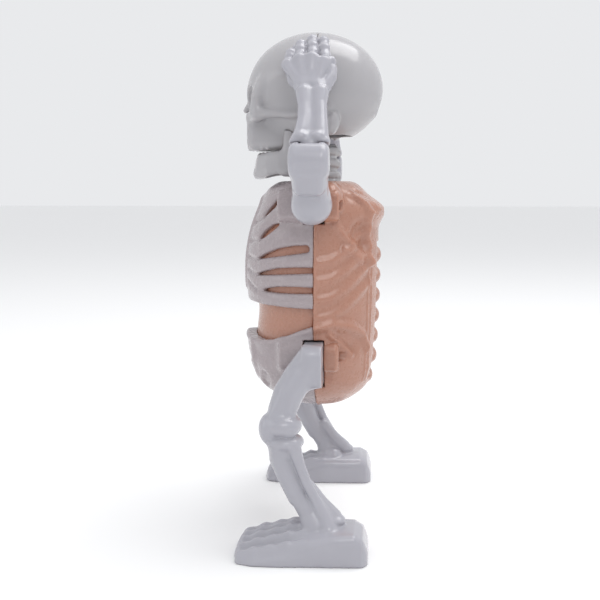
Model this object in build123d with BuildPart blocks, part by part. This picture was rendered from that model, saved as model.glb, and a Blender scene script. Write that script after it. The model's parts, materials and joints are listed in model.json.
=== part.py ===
"""Clockwork dancing skeleton toy, 100 mm tall, as an assembly of moulded and metal pieces.

Frame: +Z up, the toy faces -Y, its own left side is +X. The origin is on the floor, under the
centre of the whole toy's box. Lengths are in millimetres.

A spring motor stands upright in the torso. Its crank shaft rocks both legs about front-to-back
posts at the hips, and two side links carry that motion up to the arms. The arms hold the skull by
a pair of elbow pins, so legs, arms and skull sway together.
"""
from build123d import *
import math
import os

os.makedirs("parts", exist_ok=True)

# ---- driving dimensions ---------------------------------------------------------------------
HEIGHT = 100.0          # floor to crown
SEAM_Y = 1.1            # parting plane between the front and rear halves of torso and skull
WALL = 1.2              # moulded wall
OVERLAY = 1.2           # white chest and pelvis mouldings that lie on the front half
FIT = 0.1               # radial running clearance of limbs on their posts
GAP = 0.2               # side clearance of a limb in its opening

HIP_X, HIP_Z = 13.0, 36.1
SHOULDER_X, SHOULDER_Z = 14.0, 65.5
ELBOW_X, ELBOW_Z = 26.3, 73.6
POST_R = 1.5            # pivot posts at hips and shoulders
SLAB = 3.6              # thickness of a limb's root
LINK_X = 8.4            # side links and the levers' inner ends
PEG_R = 0.4             # the links' pegs

SCREW_HEAD_R, SCREW_SHANK_R = 0.95, 0.6
SCREW_CHANNEL_R = 1.05
SCREW_SEAT_Y = SEAM_Y + 3.6
SCREW_LENGTH = 6.0

# Torso outline at each height: z, half width, depth in front of the seam, depth behind it.
TORSO = [
    (70.3, 9.0, 8.6, 7.6),
    (68.0, 12.0, 10.9, 9.8),
    (65.0, 13.5, 12.2, 13.4),
    (61.0, 14.4, 13.7, 12.4),
    (56.0, 15.0, 14.7, 12.5),
    (50.0, 15.2, 14.9, 12.4),
    (44.0, 15.0, 14.5, 12.3),
    (38.0, 14.6, 14.9, 12.0),
    (32.0, 13.2, 13.5, 11.4),
    (27.5, 9.6, 10.9, 9.6),
    (24.3, 4.6, 5.0, 5.4),
]
BELLY_INSET = 0.9       # the body under the overlays is this much flatter again in front

RIBS_BOTTOM_Z = 45.6
PELVIS_TOP_Z = 41.0

# Motor: a cassette of two plates with the shafts across the toy, along X.
PLATE_IN, PLATE_OUT = 5.6, 6.4
MODULE = 0.35
ADDENDUM, DEDENDUM = 0.85, 1.15      # in modules
TOOTH_FILL = 0.42                    # tooth width over pitch, leaving backlash
GREAT_TEETH, WHEEL_TEETH, PINION_TEETH = 36, 30, 10
CRANK = (SEAM_Y, HIP_Z)              # shaft centres are pairs of Y and Z
CRANK_THROW = 0.6
CRANK_PIN_R = 0.5
SHAFT_R = 0.6
SWING = math.radians(7)              # legs swing this far each way

# Skull: an egg about a front-to-back axis, with the face block under its front.
SKULL_Y, SKULL_Z = 0.35, 88.7
SKULL_LONG, SKULL_ROUND = 13.65, HEIGHT - 88.7

FOOT_X, FOOT_HALF = 24.0, 6.5


def step_from(centre, distance, angle_deg):
    """The point at a distance and direction from a shaft centre, in the YZ plane."""
    angle = math.radians(angle_deg)
    return (centre[0] + distance * math.cos(angle), centre[1] + distance * math.sin(angle))


def direction(a, b):
    """Direction from one shaft centre to another, in degrees from +Y towards +Z."""
    return math.degrees(math.atan2(b[1] - a[1], b[0] - a[0]))


def centre_distance(teeth_a, teeth_b):
    """Centre distance of two meshed gears."""
    return MODULE * (teeth_a + teeth_b) / 2


SECOND = step_from(CRANK, centre_distance(WHEEL_TEETH, PINION_TEETH), 75.5)
ESCAPE = step_from(CRANK, centre_distance(WHEEL_TEETH, PINION_TEETH), 149.6)
WINDING = step_from(SECOND, centre_distance(GREAT_TEETH, PINION_TEETH), 120.0)
VERGE = (ESCAPE[0], ESCAPE[1] - 5.3)
PILLARS = [(-7.0, 55.8), (5.6, 55.8), (7.9, 36.5), (-3.0, 31.0)]
KNOB_OUTER_X, KNOB_INNER_X = -18.8, -15.9


def write(part, name):
    """Label one finished piece and write its STEP file."""
    part.label = name
    export_step(part, f"parts/{name}.step")


def write_pair(part, stem):
    """Write a left-hand piece and its mirror image."""
    write(part, f"left_{stem}")
    with BuildPart() as other:
        mirror(part, about=Plane.YZ)
    write(other.part, f"right_{stem}")


def y_axis_plane(x, y, z):
    """A sketch plane at a point, with its normal along +Y and its own x along +X."""
    return Plane(origin=(x, y, z), x_dir=(1, 0, 0), z_dir=(0, 1, 0))


def x_axis_plane(x, y, z):
    """A sketch plane at a point, with its normal along +X, its x along +Y and its y along +Z."""
    return Plane(origin=(x, y, z), x_dir=(0, 1, 0), z_dir=(1, 0, 0))


def rod_y(x, z, radius, y0, y1):
    """A round bar along Y."""
    with BuildPart() as rod:
        with BuildSketch(y_axis_plane(x, y0, z)):
            Circle(radius)
        extrude(amount=y1 - y0)
    return rod.part


def rod_x(y, z, radius, x0, x1):
    """A round bar along X."""
    with BuildPart() as rod:
        with BuildSketch(x_axis_plane(x0, y, z)):
            Circle(radius)
        extrude(amount=x1 - x0)
    return rod.part


def block(low, high):
    """A plain box between two corners."""
    size = [b - a for a, b in zip(low, high)]
    centre = [(a + b) / 2 for a, b in zip(low, high)]
    with BuildPart() as body:
        with BuildSketch(Plane.XY.offset(low[2])):
            with Locations((centre[0], centre[1])):
                Rectangle(size[0], size[1])
        extrude(amount=size[2])
    return body.part


def oval(x, y, z, radius_x, radius_y):
    """A horizontal elliptical section of a limb."""
    with BuildSketch(Plane(origin=(x, y, z))) as section:
        Ellipse(radius_x, radius_y)
    return section.sketch


# ---- torso ----------------------------------------------------------------------------------
def torso_section(z, half_width, front, rear):
    """A front and a rear half ellipse that meet on the parting plane."""
    with BuildSketch(Plane.XY.offset(z)) as outline:
        with BuildLine():
            EllipticalCenterArc((0, SEAM_Y), half_width, rear, 0, arc_size=180)
            EllipticalCenterArc((0, SEAM_Y), half_width, front, 180, arc_size=180)
        make_face()
    return outline.sketch


def torso_solid(side_inset, front_inset, rear_inset):
    """The torso's outer form, drawn in by the given amounts, and in height by the side inset."""
    top, bottom = TORSO[0][0] - side_inset, TORSO[-1][0] + side_inset
    with BuildPart() as form:
        loft([
            torso_section(z, width - side_inset, front - front_inset, rear - rear_inset)
            for z, width, front, rear in TORSO
        ])
        add(block((-40, -40, bottom), (40, 40, top)), mode=Mode.INTERSECT)
    return form.part


TORSO_OUTER = torso_solid(0, 0, 0)
BODY_OUTER = torso_solid(OVERLAY, OVERLAY + BELLY_INSET, OVERLAY)
BODY_INNER = torso_solid(OVERLAY + WALL, OVERLAY + BELLY_INSET + WALL, WALL)
FRONT_SPACE = block((-40, -40, -10), (40, SEAM_Y, 110))
REAR_SPACE = block((-40, SEAM_Y, -10), (40, 40, 110))
NECK_Y, NECK_R = 2.2, 3.4


def limb_openings():
    """Rectangular openings that straddle the seam, where the limbs' roots come out."""
    half = SLAB / 2 + GAP
    with BuildPart() as openings:
        for side in (-1, 1):
            add(block((min(side * 9, side * 22), SEAM_Y - half, 62.0),
                      (max(side * 9, side * 22), SEAM_Y + half, 69.4)))
            add(block((min(side * 9, side * 22), SEAM_Y - half, 29.6),
                      (max(side * 9, side * 22), SEAM_Y + half, 39.5)))
    return openings.part


OPENINGS = limb_openings()
# Shoulder and hip bosses: x, z, radius of the rear cap.
PIVOTS = [(SHOULDER_X, SHOULDER_Z, 3.1), (HIP_X, HIP_Z, 3.0)]
CAP_SHIFT = 0.9         # caps sit a little inboard of the post


def side_ribs(y0, y1, z0, z1):
    """Two ribs that hold the motor's plates, one at each side."""
    middle = (PLATE_IN + PLATE_OUT) / 2
    with BuildPart() as ribs:
        for side in (-1, 1):
            add(block((side * middle - 0.4, y0, z0), (side * middle + 0.4, y1, z1)))
    return ribs.part


PLATE_FRONT_Y, PLATE_REAR_Y = -8.2, 9.0
PLATE_LOW_Z, PLATE_HIGH_Z = 29.9, 57.4


def make_torso_front():
    """Front half of the body, with the four pivot posts and two ribs for the motor."""
    with BuildPart() as front:
        add(BODY_OUTER)
        add(BODY_INNER, mode=Mode.SUBTRACT)
        add(REAR_SPACE, mode=Mode.SUBTRACT)
        with BuildPart(mode=Mode.PRIVATE) as ribs:
            add(side_ribs(-13.5, PLATE_FRONT_Y, 41.0, 54.0))
            add(BODY_OUTER, mode=Mode.INTERSECT)
        add(ribs.part)
        add(OPENINGS, mode=Mode.SUBTRACT)
        for x, z, cap_r in PIVOTS:
            for side in (-1, 1):
                add(rod_y(side * (x - CAP_SHIFT), z, cap_r - 0.9, SEAM_Y - 6.0, SEAM_Y - SLAB / 2 - GAP))
                add(rod_y(side * x, z, POST_R, SEAM_Y - 5.0, SEAM_Y + SLAB / 2 + GAP))
                add(rod_y(side * x, z, SCREW_SHANK_R + 0.02, SEAM_Y - 3.2, SEAM_Y + 3),
                    mode=Mode.SUBTRACT)
        add(rod_x(*WINDING, 1.4, -20, -8), mode=Mode.SUBTRACT)
        add(neck_hole(), mode=Mode.SUBTRACT)
    return front.part


def neck_hole():
    """The round opening in the top of the torso where the neck is trapped."""
    with BuildPart() as hole:
        with BuildSketch(Plane.XY.offset(67.0)):
            with Locations((0, NECK_Y)):
                Circle(NECK_R + 0.05)
        extrude(amount=5)
    return hole.part


def make_torso_rear():
    """Rear half of the body: flush with the white overlays, with a cap and a screw channel at each post."""
    with BuildPart() as rear:
        add(TORSO_OUTER)
        add(BODY_INNER, mode=Mode.SUBTRACT)
        add(FRONT_SPACE, mode=Mode.SUBTRACT)
        with BuildPart(mode=Mode.PRIVATE) as ribs:
            add(side_ribs(PLATE_REAR_Y, 13.5, 41.0, 54.0))
            add(TORSO_OUTER, mode=Mode.INTERSECT)
        add(ribs.part)
        add(OPENINGS, mode=Mode.SUBTRACT)
        for x, z, cap_r in PIVOTS:
            for side in (-1, 1):
                with BuildPart(mode=Mode.PRIVATE) as cap:
                    add(rod_y(side * (x - CAP_SHIFT), z, cap_r, SEAM_Y + SLAB / 2 + GAP, SEAM_Y + 4.9))
                    chamfer(cap.faces().sort_by(Axis.Y)[-1].edges(), 1.0)
                    add(block((-10.3, -40, 0), (10.3, 40, 100)), mode=Mode.SUBTRACT)
                add(cap.part)
                add(rod_y(side * x, z, SCREW_SHANK_R + 0.1, SEAM_Y, 20), mode=Mode.SUBTRACT)
                add(rod_y(side * x, z, SCREW_CHANNEL_R, SCREW_SEAT_Y, 20), mode=Mode.SUBTRACT)
        add(neck_hole(), mode=Mode.SUBTRACT)
    return rear.part


def rib_slots():
    """Five slots a side between the ribs, each falling towards the front."""
    slots = [(66.0, 1.6, -9.8, -6.0), (60.4, 1.7, -10.6, -5.0), (56.4, 2.0, -11.0, 0.2),
             (52.6, 1.3, -11.0, 3.0), (49.0, 1.0, -9.0, 3.0)]
    with BuildPart() as cut:
        for side in (-1, 1):
            for z, tall, y0, y1 in slots:
                add(block((min(side * 7.5, side * 20), y0, z - tall / 2),
                          (max(side * 7.5, side * 20), y1, z + tall / 2)))
    return cut.part


def white_overlay(low_z, high_z):
    """The part of the outer skin in front of the seam, between two heights."""
    with BuildPart() as skin:
        add(TORSO_OUTER)
        add(BODY_OUTER, mode=Mode.SUBTRACT)
        add(REAR_SPACE, mode=Mode.SUBTRACT)
        add(block((-40, -40, low_z), (40, 40, high_z)), mode=Mode.INTERSECT)
    return skin.part


def overlay_caps(x, z, cap_r):
    """White caps over the front bosses of one pair of pivots."""
    with BuildPart() as caps:
        for side in (-1, 1):
            add(rod_y(side * (x - CAP_SHIFT), z, cap_r, SEAM_Y - 6.9, SEAM_Y - SLAB / 2 - GAP))
    return caps.part


def make_overlay(low_z, high_z, pivot):
    """One white front moulding, with its caps over the bosses and clear of the body inside it."""
    x, z, cap_r = pivot
    with BuildPart() as overlay:
        add(white_overlay(low_z, high_z))
        add(overlay_caps(x, z, cap_r))
        add(BODY_OUTER, mode=Mode.SUBTRACT)
        add(OPENINGS, mode=Mode.SUBTRACT)
        for side in (-1, 1):
            add(rod_y(side * (x - CAP_SHIFT), z, cap_r - 0.85, SEAM_Y - 6.05, SEAM_Y), mode=Mode.SUBTRACT)
            add(rod_y(side * x, z, POST_R + 0.05, SEAM_Y - 6.05, SEAM_Y), mode=Mode.SUBTRACT)
    return overlay.part


def make_rib_cage():
    """Chest moulding: ribs divided by slots through which the body shows."""
    with BuildPart() as cage:
        add(make_overlay(RIBS_BOTTOM_Z, 80, PIVOTS[0]))
        add(rib_slots(), mode=Mode.SUBTRACT)
        add(neck_hole(), mode=Mode.SUBTRACT)
        add(rod_x(*WINDING, 1.9, -20, -8), mode=Mode.SUBTRACT)
    return cage.part


def make_neck():
    """A short column of vertebrae with a flange that the two torso halves trap."""
    with BuildPart() as neck:
        with BuildSketch(Plane.XY.offset(67.2)):
            with Locations((0, NECK_Y)):
                Circle(NECK_R)
        extrude(amount=3.4)
        for level in range(3):
            with BuildSketch(Plane.XY.offset(70.6 + 2.4 * level)):
                with Locations((0, NECK_Y)):
                    Circle(NECK_R - 0.3)
            extrude(amount=1.6)
            with BuildSketch(Plane.XY.offset(72.2 + 2.4 * level)):
                with Locations((0, NECK_Y)):
                    Circle(NECK_R - 0.9)
            extrude(amount=0.8)
    return neck.part


def make_case_screws():
    """Four self-tapping screws, driven from the rear into the posts."""
    with BuildPart() as screws:
        for x, z, cap_r in PIVOTS:
            for side in (-1, 1):
                add(rod_y(side * x, z, SCREW_SHANK_R, SCREW_SEAT_Y - SCREW_LENGTH, SCREW_SEAT_Y))
                add(rod_y(side * x, z, SCREW_HEAD_R, SCREW_SEAT_Y, SCREW_SEAT_Y + 0.9))
                slot_y = SCREW_SEAT_Y + 0.5
                add(block((side * x - 0.7, slot_y, z - 0.15), (side * x + 0.7, slot_y + 1, z + 0.15)),
                    mode=Mode.SUBTRACT)
                add(block((side * x - 0.15, slot_y, z - 0.7), (side * x + 0.15, slot_y + 1, z + 0.7)),
                    mode=Mode.SUBTRACT)
    return screws.part


# ---- skull ----------------------------------------------------------------------------------
def egg(shrink):
    """The cranium, smaller all round by shrink."""
    long_r, round_r = SKULL_LONG - shrink, SKULL_ROUND - shrink
    with BuildPart() as form:
        with BuildSketch(Plane.XY.offset(SKULL_Z)):
            with BuildLine():
                EllipticalCenterArc((0, SKULL_Y), round_r, long_r, -90, arc_size=180)
                Line((0, SKULL_Y + long_r), (0, SKULL_Y - long_r))
            make_face()
        revolve(axis=Axis((0, 0, SKULL_Z), (0, 1, 0)))
    return form.part


def face_block():
    """Upper jaw, cheeks and brow, with a small nose."""
    profile = [(-12.0, 92.5), (-13.2, 90.0), (-13.1, 86.5), (-12.4, 84.0), (-13.2, 81.0),
               (-13.4, 78.2), (-12.6, 76.4), (-6.8, 76.4), (-4.5, 79.0), (-2.0, 84.0), (-4.0, 92.5)]
    with BuildPart() as face:
        with BuildSketch(x_axis_plane(-5.6, 0, 0)):
            with BuildLine():
                Polyline(*profile, close=True)
            make_face()
        extrude(amount=11.2)
        fillet(face.edges().filter_by(GeomType.LINE).filter_by(Axis.X, reverse=True), 1.2)
        nose = [(-11.8, 88.0), (-13.4, 86.0), (-14.5, 84.4), (-13.6, 83.0), (-11.8, 82.6)]
        with BuildSketch(x_axis_plane(-1.1, 0, 0)):
            with BuildLine():
                Polyline(*nose, close=True)
            make_face()
        extrude(amount=2.2)
    return face.part


def skull_solid():
    """The skull's outer form, without its hollow."""
    with BuildPart() as solid:
        add(egg(0))
        add(face_block())
    return solid.part


SKULL_OUTER = skull_solid()
SKULL_INNER = egg(WALL)
NECK_WINDOW_R = NECK_R + 2.2


def make_skull_shell():
    """Hollow skull with dished eye sockets and a window under it for the neck."""
    with BuildPart() as shell:
        add(SKULL_OUTER)
        add(SKULL_INNER, mode=Mode.SUBTRACT)
        for side in (-1, 1):
            add(rod_y(side * 4.6, 87.0, 2.7, -16.0, -11.7), mode=Mode.SUBTRACT)
        with BuildSketch(Plane.XY.offset(74.0)):
            with Locations((0, NECK_Y)):
                Circle(NECK_WINDOW_R)
        extrude(amount=8.0, mode=Mode.SUBTRACT)
    return shell.part


def make_skull_half(other_side):
    """The part of the skull that is left when the other side of the seam is taken away."""
    with BuildPart() as half:
        add(make_skull_shell())
        add(other_side, mode=Mode.SUBTRACT)
    return half.part


def make_jaw():
    """Horseshoe lower jaw, with a ramus each side that reaches up to the skull's base."""
    with BuildPart() as jaw:
        with BuildSketch(Plane.XY.offset(71.0)):
            with BuildLine():
                EllipticalCenterArc((0, -5.2), 6.6, 7.0, 180, arc_size=180)
                Line((6.6, -5.2), (6.6, -3.0))
                Line((6.6, -3.0), (4.8, -3.0))
                Line((4.8, -3.0), (4.8, -5.2))
                EllipticalCenterArc((0, -5.2), 4.8, 5.0, 180, arc_size=180)
                Line((-4.8, -5.2), (-4.8, -3.0))
                Line((-4.8, -3.0), (-6.6, -3.0))
                Line((-6.6, -3.0), (-6.6, -5.2))
            make_face()
        extrude(amount=3.6)
        for side in (-1, 1):
            add(block((min(side * 4.8, side * 6.6), -5.9, 71.0), (max(side * 4.8, side * 6.6), -3.0, 83.0)))
        add(SKULL_OUTER, mode=Mode.SUBTRACT)
        add(SKULL_INNER, mode=Mode.SUBTRACT)
    return jaw.part


# ---- arms -----------------------------------------------------------------------------------
def make_upper_arm():
    """Left upper arm: lever and eye inside the torso, ball, shaft and elbow socket outside."""
    low, high = SEAM_Y - SLAB / 2, SEAM_Y + SLAB / 2
    with BuildPart() as arm:
        add(rod_y(SHOULDER_X, SHOULDER_Z, 2.7, low, high))
        add(block((SHOULDER_X, low, SHOULDER_Z - 2.2), (19.0, high, SHOULDER_Z + 2.6)))
        with Locations((19.6, SEAM_Y, 65.8)):
            Sphere(3.7)
        with BuildPart(mode=Mode.PRIVATE) as shaft:
            start = Plane(origin=(20.0, SEAM_Y, 66.6), x_dir=(0, 1, 0), z_dir=(6.3, 0, 7.0))
            with BuildSketch(start):
                RectangleRounded(6.0, 5.2, 2.0)
            with BuildSketch(start.offset(8.2)):
                RectangleRounded(6.8, 5.6, 1.6)
            loft()
        add(shaft.part)
        add(rod_y(ELBOW_X, ELBOW_Z, 3.3, SEAM_Y - 3.6, SEAM_Y + 3.6))
        add(rod_y(ELBOW_X, ELBOW_Z, 2.55, SEAM_Y - 1.75, SEAM_Y + 1.75), mode=Mode.SUBTRACT)
        add(block((ELBOW_X - 5.6, SEAM_Y - 1.75, ELBOW_Z + 0.4), (ELBOW_X + 1.0, SEAM_Y + 1.75, 82.0)),
            mode=Mode.SUBTRACT)
        add(rod_y(ELBOW_X, ELBOW_Z, 0.82, SEAM_Y - 3.2, SEAM_Y + 3.2), mode=Mode.SUBTRACT)
        add(block((LINK_X - 0.9, SEAM_Y + 0.2, SHOULDER_Z - 1.1), (12.6, high, SHOULDER_Z + 1.1)))
        add(rod_y(SHOULDER_X, SHOULDER_Z, POST_R + FIT, low - 1, high + 1), mode=Mode.SUBTRACT)
        add(rod_y(LINK_X, SHOULDER_Z, PEG_R + FIT, low - 1, high + 1), mode=Mode.SUBTRACT)
    return arm.part


def make_elbow_pin():
    """Steel pin across the elbow socket."""
    return rod_y(ELBOW_X, ELBOW_Z, 0.8, SEAM_Y - 3.1, SEAM_Y + 3.1)


def make_forearm():
    """Left forearm and hand: a tongue in the elbow socket, two bones, and a palm against the skull."""
    with BuildPart() as forearm:
        add(rod_y(ELBOW_X, ELBOW_Z, 2.35, SEAM_Y - 1.55, SEAM_Y + 1.55))
        with BuildPart(mode=Mode.PRIVATE) as tongue:
            with BuildSketch(Plane(origin=(ELBOW_X - 0.4, SEAM_Y, ELBOW_Z + 0.8))):
                Rectangle(2.4, 3.1)
            with BuildSketch(Plane(origin=(23.6, SEAM_Y, 78.2))):
                Rectangle(2.4, 3.1)
            loft()
        add(tongue.part)
        with BuildPart(mode=Mode.PRIVATE) as bones:
            loft([oval(23.8, SEAM_Y + 0.1, 77.3, 2.0, 3.4), oval(22.4, SEAM_Y + 0.2, 79.4, 1.7, 2.8),
                  oval(20.2, SEAM_Y + 0.3, 82.3, 1.6, 2.6), oval(17.4, SEAM_Y, 86.4, 1.9, 3.0)])
        add(bones.part)
        with BuildPart(mode=Mode.PRIVATE) as hand:
            palm = Plane(origin=(16.9, SEAM_Y - 0.6, 86.0), x_dir=(0, 1, 0), z_dir=(-6.6, 0, 11.0))
            with BuildSketch(palm):
                RectangleRounded(7.4, 3.0, 1.3)
            with BuildSketch(palm.offset(7.0)):
                RectangleRounded(10.4, 3.2, 1.4)
            with BuildSketch(palm.offset(12.6)):
                RectangleRounded(7.6, 2.6, 1.2)
            loft()
        add(hand.part)
        add(rod_y(ELBOW_X, ELBOW_Z, 0.88, SEAM_Y - 3, SEAM_Y + 3), mode=Mode.SUBTRACT)
        add(SKULL_OUTER, mode=Mode.SUBTRACT)
    return forearm.part


def make_link():
    """Left side link: a strip behind the levers, with a peg at each end."""
    back = SEAM_Y + 2.4
    with BuildPart() as link:
        add(block((LINK_X - 0.8, back, HIP_Z), (LINK_X + 0.8, back + 0.9, SHOULDER_Z)))
        for z in (HIP_Z, SHOULDER_Z):
            add(rod_y(LINK_X, z, 1.3, back, back + 0.9))
        add(rod_y(LINK_X, HIP_Z, PEG_R, SEAM_Y + 1.6, back))
        add(rod_y(LINK_X, SHOULDER_Z, PEG_R, SEAM_Y + 0.4, back))
    return link.part


# ---- legs -----------------------------------------------------------------------------------
def make_foot():
    """Left foot, toes to heel."""
    side_view = [(12.2, 0), (12.2, 2.6), (11.5, 4.8), (9.8, 6.2), (6.0, 6.4), (0.0, 6.2), (-3.4, 5.6),
                 (-8.0, 4.3), (-11.6, 3.0), (-12.9, 1.6), (-12.9, 0)]
    with BuildPart() as foot:
        with BuildSketch(x_axis_plane(FOOT_X - FOOT_HALF, 0, 0)):
            with BuildLine():
                Polyline(*side_view, close=True)
            make_face()
        extrude(amount=2 * FOOT_HALF)
        upper = [edge for edge in foot.edges().filter_by(Axis.X, reverse=True) if edge.center().Z > 1.0]
        chamfer(upper, 0.8)
    return foot.part


def make_leg():
    """Left leg in one moulding: lever, eye and knuckle at the hip, then thigh, knee, shin and foot."""
    low, high = SEAM_Y - SLAB / 2, SEAM_Y + SLAB / 2
    fork_half = CRANK_THROW + CRANK_PIN_R + 4.6 * math.sin(SWING) + 0.15
    with BuildPart() as leg:
        add(rod_y(HIP_X, HIP_Z, 2.7, low, high))
        with BuildPart(mode=Mode.PRIVATE) as knuckle:
            add(block((HIP_X, low, 31.2), (20.6, high, 38.9)))
            fillet(knuckle.edges().filter_by(Axis.Y).sort_by(Axis.X)[-2:], 2.2)
        add(knuckle.part)
        loft([oval(18.7, -0.4, 34.2, 1.9, 2.4), oval(20.3, -3.6, 29.6, 2.4, 2.6),
              oval(21.4, -4.7, 24.4, 2.6, 2.9)])
        with Locations((21.7, -4.5, 23.4)):
            Sphere(3.35)
        loft([oval(21.9, -4.2, 22.0, 2.7, 3.0), oval(22.8, -2.4, 16.0, 2.3, 2.8),
              oval(23.5, -0.2, 11.3, 2.2, 2.8), oval(24.0, 2.9, 5.2, 2.9, 4.2)])
        add(make_foot())
        add(block((LINK_X - 0.6, SEAM_Y - 2.3, HIP_Z - fork_half - 0.9),
                  (LINK_X + 0.6, SEAM_Y + 2.3, HIP_Z + fork_half + 0.9)))
        add(block((LINK_X - 0.6, SEAM_Y - 1.5, HIP_Z - fork_half),
                  (LINK_X + 0.6, SEAM_Y + 1.5, HIP_Z + fork_half)), mode=Mode.SUBTRACT)
        add(block((LINK_X + 0.6, SEAM_Y - 2.3, HIP_Z - fork_half - 0.9),
                  (LINK_X + 1.4, SEAM_Y + 2.3, HIP_Z + fork_half + 0.9)))
        add(block((LINK_X + 1.4, SEAM_Y - 1.2, HIP_Z - 1.3), (11.4, SEAM_Y + 1.2, HIP_Z + 1.3)))
        add(rod_y(LINK_X, HIP_Z, 0.95, SEAM_Y + 1.5, SEAM_Y + 2.3))
        add(rod_y(HIP_X, HIP_Z, POST_R + FIT, low - 1, high + 1), mode=Mode.SUBTRACT)
        add(rod_y(LINK_X, HIP_Z, PEG_R + FIT, SEAM_Y + 1.4, high + 1), mode=Mode.SUBTRACT)
    return leg.part


# ---- spring motor ---------------------------------------------------------------------------
def gear_face(teeth, first_tooth_deg):
    """Outline of a spur gear about the sketch's origin, with a tooth centred on the given angle."""
    pitch_r = MODULE * teeth / 2
    root_r, tip_r = pitch_r - DEDENDUM * MODULE, pitch_r + ADDENDUM * MODULE
    half = TOOTH_FILL * math.pi / teeth
    points = []
    for tooth in range(teeth):
        middle = math.radians(first_tooth_deg) + 2 * math.pi * tooth / teeth
        for radius, spread in ((root_r, -1.5), (pitch_r, -1.0), (tip_r, -0.45),
                               (tip_r, 0.45), (pitch_r, 1.0), (root_r, 1.5)):
            angle = middle + spread * half
            points.append((radius * math.cos(angle), radius * math.sin(angle)))
    with BuildLine() as outline:
        Polyline(*points, close=True)
    return outline


def gear(centre, teeth, first_tooth_deg, x0, x1):
    """A solid spur gear on a shaft centre, between two X positions."""
    outline = gear_face(teeth, first_tooth_deg)
    with BuildPart() as wheel:
        with BuildSketch(x_axis_plane(x0, *centre)):
            with BuildLine():
                add(outline.line)
            make_face()
        extrude(amount=x1 - x0)
    return wheel.part


def gap_angle(teeth, toward_deg):
    """First-tooth angle that puts a gap, not a tooth, on the given direction."""
    return toward_deg + 180 / teeth


def make_winding_arbor():
    """Steel arbor from the left plate, through the right plate and wall, to the knob."""
    with BuildPart() as arbor:
        add(rod_x(*WINDING, 1.2, -PLATE_IN + 0.2, PLATE_IN - 0.2))
        add(rod_x(*WINDING, 0.8, KNOB_OUTER_X + 0.6, PLATE_OUT + 0.6))
    return arbor.part


def make_great_wheel():
    """First wheel of the train, fixed on the arbor beside the spring."""
    with BuildPart() as wheel:
        add(gear(WINDING, GREAT_TEETH, direction(WINDING, SECOND), -0.8, 0.6))
        add(rod_x(*WINDING, 2.2, 0.6, 1.0))
        add(rod_x(*WINDING, 1.22, -3, 3), mode=Mode.SUBTRACT)
    return wheel.part


def make_mainspring():
    """Flat spiral spring round the arbor."""
    turns, steps, inner_r, pitch, thick = 6, 12, 1.9, 0.72, 0.28
    def spiral(extra):
        points = []
        for index in range(turns * steps + 1):
            angle = 2 * math.pi * index / steps
            radius = inner_r + extra + pitch * index / steps
            points.append((radius * math.cos(angle), radius * math.sin(angle)))
        return points
    inside, outside = spiral(0), spiral(thick)
    with BuildPart() as spring:
        with BuildSketch(x_axis_plane(1.3, *WINDING)):
            with BuildLine():
                Spline(*inside)
                Line(inside[-1], outside[-1])
                Spline(*outside)
                Line(outside[0], inside[0])
            make_face()
        extrude(amount=3.6)
    return spring.part


def make_second_wheel():
    """Second shaft: a pinion driven by the great wheel and a wheel that drives the crank shaft."""
    with BuildPart() as wheel:
        add(gear(SECOND, PINION_TEETH, gap_angle(PINION_TEETH, direction(SECOND, WINDING)), -1.6, 1.0))
        add(gear(SECOND, WHEEL_TEETH, direction(SECOND, CRANK), -3.4, -2.4))
        add(rod_x(*SECOND, 1.0, -2.4, -1.6))
        add(rod_x(*SECOND, SHAFT_R, -PLATE_OUT, PLATE_OUT))
    return wheel.part


def make_crank_shaft():
    """Shaft with the crank pinion and the wheel that drives the escapement."""
    with BuildPart() as shaft:
        add(gear(CRANK, PINION_TEETH, gap_angle(PINION_TEETH, direction(CRANK, SECOND)), -3.9, -1.9))
        add(gear(CRANK, WHEEL_TEETH, direction(CRANK, ESCAPE), 1.9, 2.9))
        add(rod_x(*CRANK, 1.0, -1.9, 1.9))
        add(rod_x(*CRANK, SHAFT_R, -7.3, 7.3))
    return shaft.part


def make_crank(side):
    """Crank disc outside a motor plate, with its pin forward on the left and rearward on the right."""
    inner, outer, tip = PLATE_OUT + 0.2, 7.4, LINK_X + 0.3
    pin_y = CRANK[0] - side * CRANK_THROW
    with BuildPart() as crank:
        add(rod_x(*CRANK, 1.8, min(side * inner, side * outer), max(side * inner, side * outer)))
        add(rod_x(*CRANK, SHAFT_R + 0.02, -7.3, 7.3), mode=Mode.SUBTRACT)
        add(rod_x(pin_y, CRANK[1], CRANK_PIN_R,
                  min(side * outer, side * tip), max(side * outer, side * tip)))
    return crank.part


def make_escape_wheel():
    """Escape wheel with pointed teeth and its pinion."""
    teeth, tip_r, root_r = 12, 3.2, 2.3
    points = []
    for tooth in range(teeth):
        angle = 2 * math.pi * tooth / teeth
        points.append((tip_r * math.cos(angle), tip_r * math.sin(angle)))
        angle += 0.7 * 2 * math.pi / teeth
        points.append((root_r * math.cos(angle), root_r * math.sin(angle)))
    with BuildPart() as wheel:
        with BuildSketch(x_axis_plane(-1.0, *ESCAPE)):
            with BuildLine():
                Polyline(*points, close=True)
            make_face()
        extrude(amount=1.0)
        add(gear(ESCAPE, PINION_TEETH, gap_angle(PINION_TEETH, direction(ESCAPE, CRANK)), 1.3, 3.5))
        add(rod_x(*ESCAPE, 1.0, 0.0, 1.3))
        add(rod_x(*ESCAPE, SHAFT_R, -PLATE_OUT, PLATE_OUT))
    return wheel.part


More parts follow.
